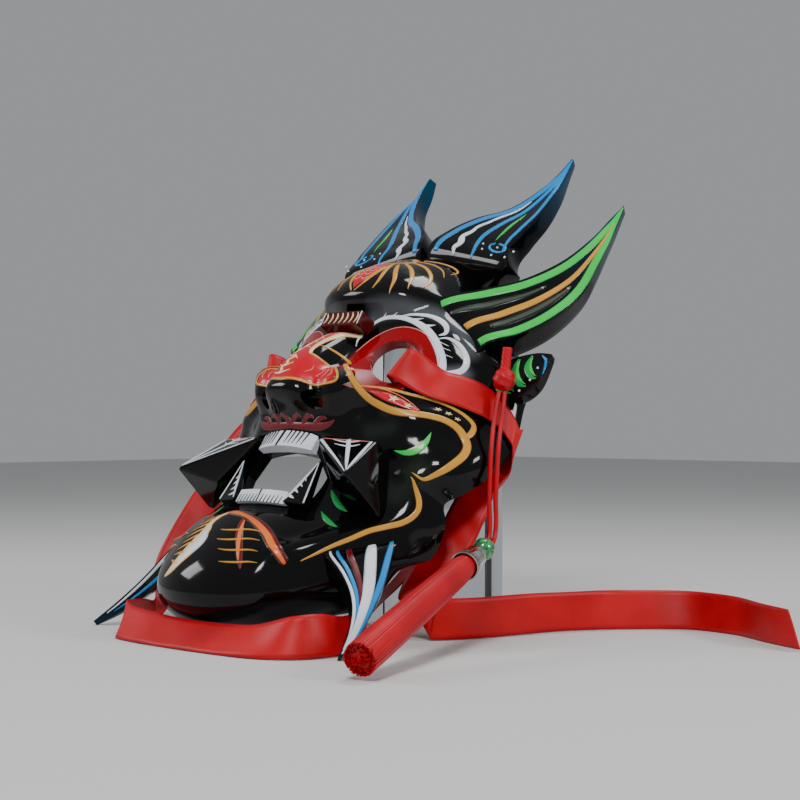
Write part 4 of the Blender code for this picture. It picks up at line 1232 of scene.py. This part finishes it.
# cheeks, eyes and jaw, painted alike on both sides
chinBand = [(0, 74.6, 2.0), (7, 74, 2.4), (12, 72.8, 2.6), (20, 69.4, 2.7), (28, 65, 2.6), (36, 59.5, 2.3),
            (43, 53.5, 1.0)]
sideWork = [
    ("gold", 0, [
        [(6, 172, .2), (10, 172.5, .8), (15, 171.5, 1.0), (21, 168, 1.2), (28, 162, 1.5), (34, 157, 1.7),
         (38, 152, 1.9), (43, 149, 2.1), (51, 147, 2.2), (58, 147, 2.2), (64, 149, 2.1), (69, 151, 2.0),
         (74, 152.5, 2.0), (78, 152, 2.1), (81, 149.5, 2.3), (84, 145, 2.4), (85, 139, 2.4),
         (83.5, 132, 2.2), (79.5, 125, 1.7), (75, 120, 1.0), (70, 121, .2)],
        [(39, 153, .4), (44, 156, .7), (50, 158, .9), (56, 159, .9), (62, 160.5, 1.0), (68, 161.5, 1.0),
         (73, 161.5, 1.1), (77.5, 160.5, 1.4), (81, 158, 1.7), (82.5, 153.5, 1.9), (82, 149, 1.4)],
        [(47, 58, .3), (52, 66, .9), (58, 77, 1.4), (63, 87, 1.6), (67, 92, 1.7), (71, 97, 1.7),
         (73.5, 102, 1.7), (74.5, 107, 1.7), (73.5, 112, 1.6), (71.5, 117, .9), (70, 119, .2)]]),
    ("red", 1, [[(42, 152.8, .3), (46, 152.8, 1.7), (51, 152.6, 2.7), (56, 152.3, 2.6), (61, 151.6, 1.7),
                 (65, 151, .3)]]),
    ("orange", 0, [[(42, 155.2, .2), (47, 156.2, .35), (53, 156.2, .35), (59, 154.6, .35),
                    (65, 151.4, .2)]]),
    ("leaf", 0, [
        [(35, 102, .2), (38, 99, 1.7), (43, 95, 1.9), (48, 93, .3)],
        [(37, 89, .2), (41, 86, 1.5), (46, 83.5, 1.7), (51, 82, .3)]]),
    ("green", 0, [[(59, 129, .2), (64, 129.3, 1.5), (68, 132, 2.2), (70.5, 137, 1.9), (71, 144, .2)]]),
    # the cream streak on each green crescent is a painted highlight
    ("cream", 2, [[(65, 131, .15), (67.6, 133.6, .5), (69.3, 138, .15)]]),
    ("white", 0, [
        [(13.5, 182, .2), (11.5, 187, .6), (10.5, 193, .9), (13, 198.5, 1.1), (18, 202, 1.2),
         (24, 203.6, 1.3), (31, 204, 1.5), (38, 202.8, 1.8), (44, 200.6, 2.2), (49, 197, 2.5),
         (53.5, 192, 2.6), (57, 186.5, 2.6), (59.5, 180, 2.4), (60.5, 173, 1.6), (60, 167, .4)],
        [(28, 204.5, .2), (35, 207.2, .9), (42, 208.8, 1.4), (48, 207.8, 1.7), (52.5, 205, 1.6),
         (53.5, 201.5, 1.2), (51, 199, .3)],
        [(51, 196.5, .2), (55, 199, .7), (60, 198, 1.3), (64, 194.5, 1.8), (66, 190, 2.0), (65.5, 185, 2.0),
         (62.5, 181, 1.6), (59.5, 179.5, .6)],
        [(57, 201.8, .2), (59, 200.8, 1.1), (61, 199.6, .2)],
        [(52.5, 195.5, .3), (57, 195, .12)], [(54, 192.8, .3), (58.5, 192.8, .12)],
        [(56, 189.5, .3), (60.5, 189.6, .12)],
        [(18, 202, .7), (20.5, 205.3, .1)], [(23.5, 203.6, .7), (26.5, 206.4, .1)],
        [(35, 203.5, 1.3), (40.5, 206.2, .1)], [(42.5, 201.5, 1.5), (47.5, 204.2, .1)]]),
    # pink line along the top and outer edge of each red eye rim: a painted highlight of the rim's gloss
    ("pink", 0, [[(*roundEye(radians(turn)), .15 if turn in (180, -20) else .38)
                  for turn in range(180, -21, -20)]]),
    ("wine", 0, [
        [(0, 130.3, 2.0), (5, 130, 2.1), (11, 130, 2.3), (17, 130.2, 2.5), (22, 131, 2.3),
         (25.5, 132.6, 1.6), (28, 135, .3)],
        [(1, 131, 2.0), (3, 133.4, 1.7), (6.2, 134.4, 1.2), (8.4, 133.6, .5)],
        [(9, 131, 2.0), (11, 133.6, 1.7), (14.2, 134.6, 1.2), (16.2, 133.8, .5)],
        [(17, 131.4, 2.0), (19, 133.8, 1.6), (22, 135, 1.1), (23.6, 134.4, .4)]]),
    ("pink", 1, [[(0, 127, .3), (8, 127, .35), (15, 126, .3), (20, 124.6, .15)]]),
    ("orange", 1, [chinBand]),
    ("wine", 0, [[(across, up + .6, half + 1.5) for across, up, half in chinBand]]),
    ("gold", 0, [  # flames round the forehead
        [(6, 234, .9), (6.5, 227, 1.5), (5.6, 220.5, 1.2), (3.5, 215, .2)],
        [(8, 236, .9), (11.5, 227, 1.3), (13.5, 220, 1.0), (13, 214, .2)],
        [(10, 238, .9), (16, 230, 1.5), (21.5, 221.5, 1.2), (23.5, 212.5, .2)],
        [(11, 241, .9), (19, 236, 1.5), (26, 228, 1.3), (30, 218.5, .2)],
        [(12, 244, .9), (20.5, 242, 1.5), (28, 236.5, 1.4), (32.5, 229.5, 1.0), (33.5, 223, .2)],
        [(12, 247.5, .6), (20, 247.5, .8), (27, 244.5, .7), (32, 238.5, .2)],
        [(12, 250.5, .8), (19, 252, 1.0), (26, 251.6, 1.0), (30.5, 248.5, .8), (31, 243.5, .2)],
        [(1, 212.6, .4), (5.4, 218.5, .8), (7.6, 225, .9), (7.6, 232, .9), (6, 239, 1.3)]]),
]
paintAll(faceArea, sideWork)

# nose, brow leaf and chin, which cross the middle line
noseShape = {
    "rows": [(3, 145.4), (15, 147.4), (26, 148.4), (29.6, 150.6), (30, 153), (27.5, 156.4), (21, 160.4),
             (13, 162.6), (7, 164.4), (4.6, 168), (3.8, 174), (4.2, 181), (6.5, 187), (11, 191.4)],
    "edge": [("cream", 1, [[(11, 190.6, 1.8), (6.6, 187.4, 2.3), (4.2, 181, 2.3), (3.6, 174, 2.0),
                            (4.4, 168, 1.4), (6.5, 164.4, 1.0)]]),
             ("gold", 1, [[(6.5, 164.4, 1.0), (12, 163, .8), (20, 160.8, .8), (27, 156.8, .8),
                           (30.2, 153, .8), (29.6, 150, .9), (25, 148, .8), (15, 147.2, .8),
                           (7, 146.2, 1.0), (0, 145.6, 1.2)]]),
             ("pink", 2, [[(11, 152, .1), (12.6, 154.6, .4), (12, 158, .1)],
                          [(15.6, 151.6, .1), (17.2, 154.4, .4), (16.6, 158, .1)],
                          [(20, 151.4, .1), (21.6, 154, .4), (21, 157.4, .1)],
                          [(24.4, 151.6, .1), (26, 153.6, .4), (25.4, 156, .1)],
                          [(1, 183, .2), (4.5, 189, .35), (9, 192.6, .2)]])],
    "middle": [("cream", 2, [[(-5, 149, .3), (-3, 151, 1.0), (-4.6, 153.4, .9), (-2.6, 156, 1.0),
                              (-4, 158.6, 1.0), (-1.6, 161, 1.1), (-2.6, 163.4, .3)],
                             [(-9, 150.4, .15), (-4, 149.4, .8), (3, 151.6, .15)],
                             [(-8, 155.6, .15), (-4, 154.2, .7), (2, 156.6, .15)],
                             [(-6, 162, .15), (-2, 162, .8), (2.4, 159.4, .15)]]),
               ("pink", 2, [[(-4.6, 168, .2), (-1, 170.6, .7), (3, 168.6, .2)],
                            [(-4.6, 173, .2), (-1, 175.6, .8), (3, 173.6, .2)],
                            [(-3.6, 178, .2), (-.6, 180, .6), (2.6, 178.6, .2)]])],
}
paintPatch("red", faceArea, [(-across, up) for across, up in noseShape["rows"]], noseShape["rows"],
           columns=31)
paintAll(faceArea, noseShape["edge"])
paintAll(faceArea, noseShape["middle"], (1,))

browLeaf = {
    "hub": [(-13, 245), (-10, 240.6), (-5, 238.4), (0, 237.6), (5, 238.4), (10, 240.6), (13, 245)],
    "hubTop": [(-13, 245.2), (-10, 250.4), (-5, 252.6), (0, 253.2), (5, 252.6), (10, 250.4), (13, 245.2)],
    "oval": [(-10, 245.6), (-7, 242.4), (-3.5, 240.8), (0, 240.2), (3.5, 240.8), (7, 242.4), (10, 245.6)],
    "ovalTop": [(-10, 245.8), (-7, 248.8), (-3.5, 250.2), (0, 250.6), (3.5, 250.2), (7, 248.8),
                (10, 245.8)],
    "leaf": [(0, 214), (3.6, 219), (6.0, 225), (6.4, 231), (4.6, 238)],
    "scales": [[(-5, up, .25), (-2.5, up - 2, .5), (0, up - .2, .35), (2.5, up - 2, .5), (5, up, .25)]
               for up in (222.5, 226, 229.5, 233)],
}
paintPatch("gold", faceArea, browLeaf["hub"], browLeaf["hubTop"], layer=0)
paintPatch("black", faceArea, browLeaf["oval"], browLeaf["ovalTop"], layer=2)
paintPatch("red", faceArea, [(-across, up) for across, up in browLeaf["leaf"]], browLeaf["leaf"], layer=1)
paintAll(faceArea, [("pink", 2, browLeaf["scales"])], (1,))

chinWork = [
    ("cream", 1, [
        [(-3, 74, 1.0), (-7, 70, 1.8), (-8, 65, 2.2), (-6.6, 60, 3.6), (-6.4, 54, 5.4), (-7.4, 48, 5.8),
         (-10, 42, 4.6), (-13, 36.5, 3.0), (-17, 33, .6)]]),
    ("white", 2, [[(-5.6, 60, 1.2), (-3.8, 55, 3.4), (-4.6, 49.6, 3.8), (-7.6, 44, 2.4), (-10.6, 40, .4)]]),
    ("gold", 1, [
        [(-5, 72, .9), (-10, 71, .6), (-15, 68.6, .1)], [(-8, 69, .9), (-13, 67, .6), (-18, 64, .1)],
        [(-9, 65.6, .9), (-14, 63.4, .6), (-19, 60, .1)], [(-9, 62, .9), (-14, 59.6, .7), (-19, 56, .1)],
        [(-8.6, 58, .9), (-13, 55.6, .8), (-19, 52, .1)], [(-9, 53, 1.0), (-14, 51, .9), (-19, 48, .1)],
        [(-10, 46, 1.2), (-14, 46, 1.0), (-18.6, 45, .1)],
        [(-13, 40, 1.1), (-15.4, 41, .9), (-18, 42, .1)]]),
    ("wine", 0, [[(10, 71, .4), (13.4, 66, 1.9), (17.5, 60, 2.2), (22, 54, 2.0), (26, 48, 1.7),
                  (29, 42.6, .4)]]),
    ("orange", 1, [[(12, 70, .4), (16, 63, 1.3), (19.6, 57, 1.4), (23, 51.6, 1.0), (26, 47, .3)]]),
    ("gold", 2, [
        [(4, 61.6, .1), (9, 62, .5), (15, 63.2, .7), (21, 65, .5), (25.4, 65.6, .1)],
        [(7, 55.6, .1), (12, 56, .5), (18, 57.4, .7), (24, 59.4, .5), (29, 60, .1)],
        [(12, 50, .1), (17, 50.4, .5), (22.6, 51.8, .7), (28, 53.6, .5), (32, 54, .1)],
        [(17, 43.4, .1), (21, 44.2, .5), (26, 45.6, .7), (31, 47.6, .5), (34.6, 48.4, .1)]]),
]
paintAll(faceArea, chinWork, (1,))
paintAll(faceArea, [("wine", 0, [[(-24, 66, .3), (-27, 59, 1.2), (-31, 51, 1.0), (-34, 45, .3)]]),
                    ("gold", 2, [[(-21, 59, .1), (-27, 60.6, .6), (-34, 60, .1)],
                                 [(-24, 51.6, .1), (-30, 53, .6), (-37, 52, .1)]])], (1,))
print("face painted")

# horns, ears and jaw tusks
crownWork = [
    ("blue", 0, [
        [(.9, .09, 1.4), (1.6, .09, 1.7), (2.5, .10, 1.7), (3.5, .12, 1.7), (4.5, .15, 1.6),
         (5.5, .22, 1.5), (6.3, .4, 1.0), (6.9, .5, .4)],
        [(1.6, .93, .5), (2.3, .93, 1.0), (3.3, .91, 1.1), (4.3, .88, 1.1), (5.3, .82, 1.1), (6.2, .62, .9),
         (6.9, .5, .4)],
        [(1.0, .56, .5), (1.5, .55, 1.1), (2.3, .52, 1.5), (3.3, .50, 1.5), (4.3, .48, 1.3),
         (5.2, .48, 1.1), (6.2, .5, .5)]]),
    ("white", 1, [[(.95, .34, .3), (1.25, .30, 1.3), (1.55, .33, 1.7), (1.9, .27, 1.5), (2.25, .30, 1.2),
                   (2.6, .27, 1.0), (3.0, .29, .9), (3.5, .27, .8), (4.0, .28, .6), (4.5, .28, .15)]]),
    ("green", 1, [[(2.05, .76, .1), (2.5, .74, .6), (3.0, .70, .8), (3.5, .67, .6), (3.9, .64, .1)]]),
]
templeWork = [
    ("green", 0, [
        [(.85, .10, 1.8), (1.6, .10, 2.1), (2.6, .11, 2.2), (3.6, .14, 2.1), (4.6, .18, 1.9),
         (5.6, .26, 1.6), (6.3, .4, 1.2), (6.9, .5, .4)],
        [(.9, .91, 2.0), (1.7, .91, 2.3), (2.7, .90, 2.3), (3.7, .88, 2.2), (4.7, .84, 2.0),
         (5.7, .74, 1.6), (6.4, .58, 1.0), (6.9, .5, .4)]]),
    ("olive", 0, [[(.95, .30, 1.2), (1.6, .32, 2.2), (2.4, .32, 2.0), (3.4, .34, .8)],
                  [(1.5, .72, 1.6), (2.2, .70, 2.6), (3.0, .68, 2.4), (3.9, .66, .8)]]),
    ("gold", 1, [[(.95, .60, 1.9), (1.6, .56, 2.0), (2.4, .53, 2.0), (3.3, .52, 1.7), (4.2, .52, 1.3),
                  (5.0, .53, 1.0), (5.8, .54, .5), (6.2, .54, .15)]]),
]
earWork = [
    ("leaf", 0, [[(1.75, .08, .2), (1.5, .35, 1.6), (1.6, .66, 1.5), (1.95, .86, .3)],
                 [(2.3, .06, .2), (2.05, .34, 1.9), (2.15, .66, 1.6), (2.5, .84, .3)],
                 [(2.85, .06, .2), (2.6, .32, 1.7), (2.72, .62, 1.4), (3.0, .8, .3)]]),
    ("green", 1, [[(1.8, .1, .1), (1.62, .36, .8), (1.72, .62, .6), (1.95, .8, .1)],
                  [(2.36, .08, .1), (2.18, .35, .9), (2.28, .62, .7), (2.5, .78, .1)],
                  [(2.9, .08, .1), (2.74, .32, .8), (2.84, .58, .6), (3.02, .74, .1)],
                  [(.95, .94, .2), (1.3, .9, 1.2), (1.8, .93, .3)],
                  [(.75, .1, .2), (.75, .4, .5), (.8, .65, .1)],
                  [(1.05, .12, .2), (1.02, .36, .5), (1.06, .6, .1)]]),
    ("blue", 0, [[(3.35, .1, .3), (3.55, .4, .8), (3.5, .8, .8), (3.35, .97, .2)]]),
    ("white", 2, [[(3.05, .5, .2), (3.1, .5, .8), (3.15, .5, .2)],
                  [(2.65, .72, .2), (2.7, .72, .8), (2.75, .72, .2)],
                  [(2.15, .88, .2), (2.2, .88, .8), (2.25, .88, .2)]]),
]
jawWork = [
    ("white", 1, [[(.6, .66, .8), (1.2, .64, 1.8), (2, .60, 2.1), (3, .56, 2.0), (4, .54, 1.7),
                   (5, .52, 1.1), (5.8, .5, .2)],
                  [(.7, .07, .4), (1.5, .07, .6), (3, .08, .6), (4.5, .10, .5), (5.6, .2, .15)]]),
    ("blue", 0, [[(.7, .17, .5), (1.5, .17, .8), (3, .19, .8), (4.5, .25, .6), (5.5, .34, .2)],
                 [(.8, .93, .6), (1.6, .92, 1.1), (2.6, .90, 1.2), (3.6, .87, 1.1), (4.8, .82, .8),
                  (5.7, .7, .2)]]),
    ("wine", 0, [[(.4, .34, .6), (1.3, .32, 1.2), (2.3, .32, 1.1), (3.3, .33, .7), (4, .36, .2)]]),
]
tuskSideWork = [
    ("white", 0, [[(.6, .14, .8), (1.4, .14, 1.0), (2.6, .16, .9), (4, .2, .8), (5.4, .3, .3)]]),
    ("blue", 0, [[(.6, .52, .8), (1.5, .54, 1.1), (2.6, .56, 1.0), (4, .6, .7), (5.2, .6, .2)]]),
]
paintAll(bladeUpperSide("jawTusk"), tuskSideWork, (-1,))
for hornName, hornWork, hornBroad in (("crownHorn", crownWork, 1.35), ("templeHorn", templeWork, 1.25),
                                      ("ear", earWork, 1.15), ("jawTusk", jawWork, 1.5)):
    paintAll(bladeArea(hornName), hornWork, broad=hornBroad)

ringMark = {
    "centre": (1.72, .84), "reach": (0.20, 0.115), "half": 0.85, "dotHalf": 0.04,
    "dots": [(0, 0), (35, 2.1), (85, 2.1), (130, 2.0), (175, 2.0), (215, 1.9)],  # turn, reach
}


def aroundCentre(turn, scale=1.0):
    centre, reach = ringMark["centre"], ringMark["reach"]
    return centre[0] + reach[0] * scale * cos(turn), centre[1] + reach[1] * scale * sin(turn)


for ringSide in (1, -1):
    ringRows = [(*aroundCentre(radians(step * 30)), ringMark["half"]) for step in range(12)]
    paintStroke("blue", bladeArea("crownHorn"), ringRows, ringSide, 1)
    for dotTurn, dotReach in ringMark["dots"]:
        across, along = aroundCentre(radians(dotTurn + 60), dotReach)
        dotRows = [(across + step * ringMark["dotHalf"], along, .3 if step else .8) for step in (-1, 0, 1)]
        paintStroke("white", bladeArea("crownHorn"), dotRows, ringSide, 2)


starHalves = ((0, .42), (.55, .26), (1, 0))  # how far out, and half the ray's width there


def paintStar(area, centre, reach, side):
    for point in range(5):
        turn = radians(90 + 72 * point)
        rows = [(centre[0] + reach * out * cos(turn), centre[1] + reach * out * sin(turn),
                 reach * half or .08) for out, half in starHalves]
        paintStroke("cream", area, rows, side, 3)


for starSide in (1, -1):
    for starPlace, starReach in (((53, 152.6), 2.3), ((59.6, 151.6), 1.8), ((69.5, 156.6), 1.3),
                                 ((73.4, 156.8), 1.2), ((77, 156), 1.0)):
        paintStar(faceArea, starPlace, starReach, starSide)

# tusk, tooth, fang and nose-bridge facets
tuskWork = [
    ("white", 0, [[(.02, .52, 1.3), (.22, .42, 1.3), (.45, .3, 1.2), (.7, .17, .9), (.9, .07, .2)],
                  [(.05, .26, .1), (.09, .40, .6), (.08, .56, .6), (.03, .72, .1)],
                  [(.17, .22, .1), (.21, .36, .6), (.2, .5, .6), (.14, .65, .1)],
                  [(.04, .88, .9), (.3, .63, 1.1), (.6, .35, 1.0), (.88, .09, .4)],
                  [(.06, .05, .9), (.35, .05, .8), (.65, .05, .6), (.93, .03, .2)]]),
    ("pink", 0, [[(.03, .1, .2), (.035, .5, .3), (.04, .85, .2)]]),
]
fangWork = [
    ("white", 0, [[(.02, .04, .3), (.06, .3, .9), (.05, .6, .8), (.03, .95, .2)],
                  [(.96, .03, .6), (.66, .33, .6), (.36, .63, .5), (.06, .94, .2)],
                  [(.08, .15, .9), (.22, .13, .8), (.4, .1, .1)],
                  [(.08, .30, .8), (.2, .27, .7), (.36, .23, .1)],
                  [(.07, .44, .7), (.18, .41, .6), (.3, .37, .1)],
                  [(.06, .57, .5), (.14, .55, .4), (.22, .5, .1)]]),
]
tuskFacet = ((21, -7, 125), (64, 1, 99), (58, -13, 127))  # a corner and the ends of the edges from it
fangFacet = ((18.7, -8, 87.5), (32, -10, 87.5), (28.5, -10, 113))
paintAll(flatArea(*tuskFacet), tuskWork)
paintAll(flatArea(*fangFacet), fangWork)
upperGaps = [[(x, 127, .75), (x - .5, 124.4, .55), (x - 1.1, 121.6, .3), (x - 1.5, 119.6, .1)]
             for x in (-17, -14.4, -11.8, -9.2, -6.6, 3.4, 6.2, 9, 11.8, 14.6)]
lowerGaps = [[(x, 87, .55), (x + .3, 89, .35), (x + .6, 91.2, .1)]
             for x in (-16, -13.4, -10.8, -8.2, -5.6, -3, 2, 4.6, 7.2, 9.8, 12.4, 15)]
upperCleft = [(-1.6, 127, 1.2), (-2.6, 122, 1.0), (-3.2, 118, .8)]
lowerCleft = [(-1, 94, .8), (-.6, 90.5, .5), (-.6, 87, .8)]
paintAll(toothArea(half=20, front=-4.5, curl=4), [("black", 0, [*upperGaps, upperCleft])], (1,))
paintAll(toothArea(half=18, front=-8, curl=1.5), [("black", 0, [*lowerGaps, lowerCleft])], (1,))
bridgeMarks = [[(x - .5, 192.6, .15), (x + .5, 194.6, .5), (x + .7, 196.8, .65), (x - .2, 199, .15)]
               for x in (-11.4, -7.6, -3.8, 0, 3.8, 7.6, 11.4)]


bridgeFace = {"front": -1.9, "foot": 191.5, "slope": 0.07}


def bridgeFront(keys):
    keys = np.asarray(keys, float)
    front = bridgeFace["front"] + (keys[..., 1] - bridgeFace["foot"]) * bridgeFace["slope"]
    return np.stack([keys[..., 0], front, keys[..., 1]], -1)


bridgeArea = paintArea(bridgeFront, (0.2, 0.2), (0, 195))
paintAll(bridgeArea, [("cream", 1, bridgeMarks),
                      ("white", 0, [[(13.6, 191.9, .3), (13.7, 195.6, .35), (13.6, 199.6, .3)],
                                    [(-13.6, 191.9, .3), (-13.7, 195.6, .35), (-13.6, 199.6, .3)]])], (1,))


def layAllPaint():
    for colour, mesh in paintMeshes.items():
        piece = addPiece(colour + "Brushwork", mesh, paints[colour], 80, closed=False)
        wall = piece.modifiers.new("paintDepth", "SOLIDIFY")
        wall.thickness = paintRoom["thick"] * mm
        wall.offset = -1.0
        settle(piece)
        print(colour, "laid", len(piece.data.polygons))


layAllPaint()


# clear block, the floor and the light
def makeBlock():
    low, high = (Vector(corner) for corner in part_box("display_block"))
    mesh = bmesh.new()
    bmesh.ops.create_cube(mesh, size=1.0)
    bmesh.ops.scale(mesh, vec=high - low, verts=mesh.verts)
    bmesh.ops.translate(mesh, vec=(high + low) / 2, verts=mesh.verts)
    bmesh.ops.bevel(mesh, geom=mesh.edges[:], offset=0.9 * mm, segments=3, profile=0.5, affect="EDGES",
                    material=-1)
    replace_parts(addPiece("clearBlockPolished", mesh, clearBlock, 30), "display_block")


stageLook = {
    "floor": (0.60, 0.60, 0.59), "air": (0.9, 0.92, 0.95), "airStrength": 0.36,
    "lamps": [("keyLight", (0.55, -0.75, 0.95), 0.26, 8), ("sideLight", (1.0, 0.25, 0.55), 0.22, 4),
              ("farLight", (-0.7, -0.6, 0.6), 0.3, 3), ("topLight", (0.0, 0.35, 1.1), 0.3, 4)],
}


def makeStage():
    mesh = bmesh.new()
    bmesh.ops.create_grid(mesh, x_segments=1, y_segments=1, size=3.0)
    floorPale = newMaterial("floorPale", stageLook["floor"], 0.75)
    floor = addPiece("studioFloor", mesh, floorPale, closed=False, body=None)
    world = bpy.data.worlds.new("studioAir")
    world.use_nodes = True
    world.node_tree.nodes["Background"].inputs["Color"].default_value = (*stageLook["air"], 1)
    world.node_tree.nodes["Background"].inputs["Strength"].default_value = stageLook["airStrength"]
    bpy.context.scene.world = world
    for name, spot, size, power in stageLook["lamps"]:
        data = bpy.data.lights.new(name, "AREA")
        data.size = size
        data.energy = power
        lamp = bpy.data.objects.new(name, data)
        lamp.location = spot
        lamp.rotation_euler = (Vector((0, -0.05, 0.12)) - Vector(spot)).to_track_quat("-Z", "Y").to_euler()
        bpy.context.scene.collection.objects.link(lamp)


def dressNode(name, material):
    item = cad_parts[name]
    item.data.materials.clear()
    item.data.materials.append(material)


makeBlock()
for plainEnd in ("left", "right"):
    dressNode("upper_tusk_" + plainEnd, blackLacquer)
    dressNode("lower_fang_" + plainEnd, blackLacquer)
enamel = lacquer("toothEnamel", (0.78, 0.82, 0.88), (0.60, 0.66, 0.74), gloss=0.25)
dressNode("upper_teeth", enamel)
dressNode("lower_teeth", enamel)
dressNode("bridge_block", blockRed)
makeStage()
print("stage set")
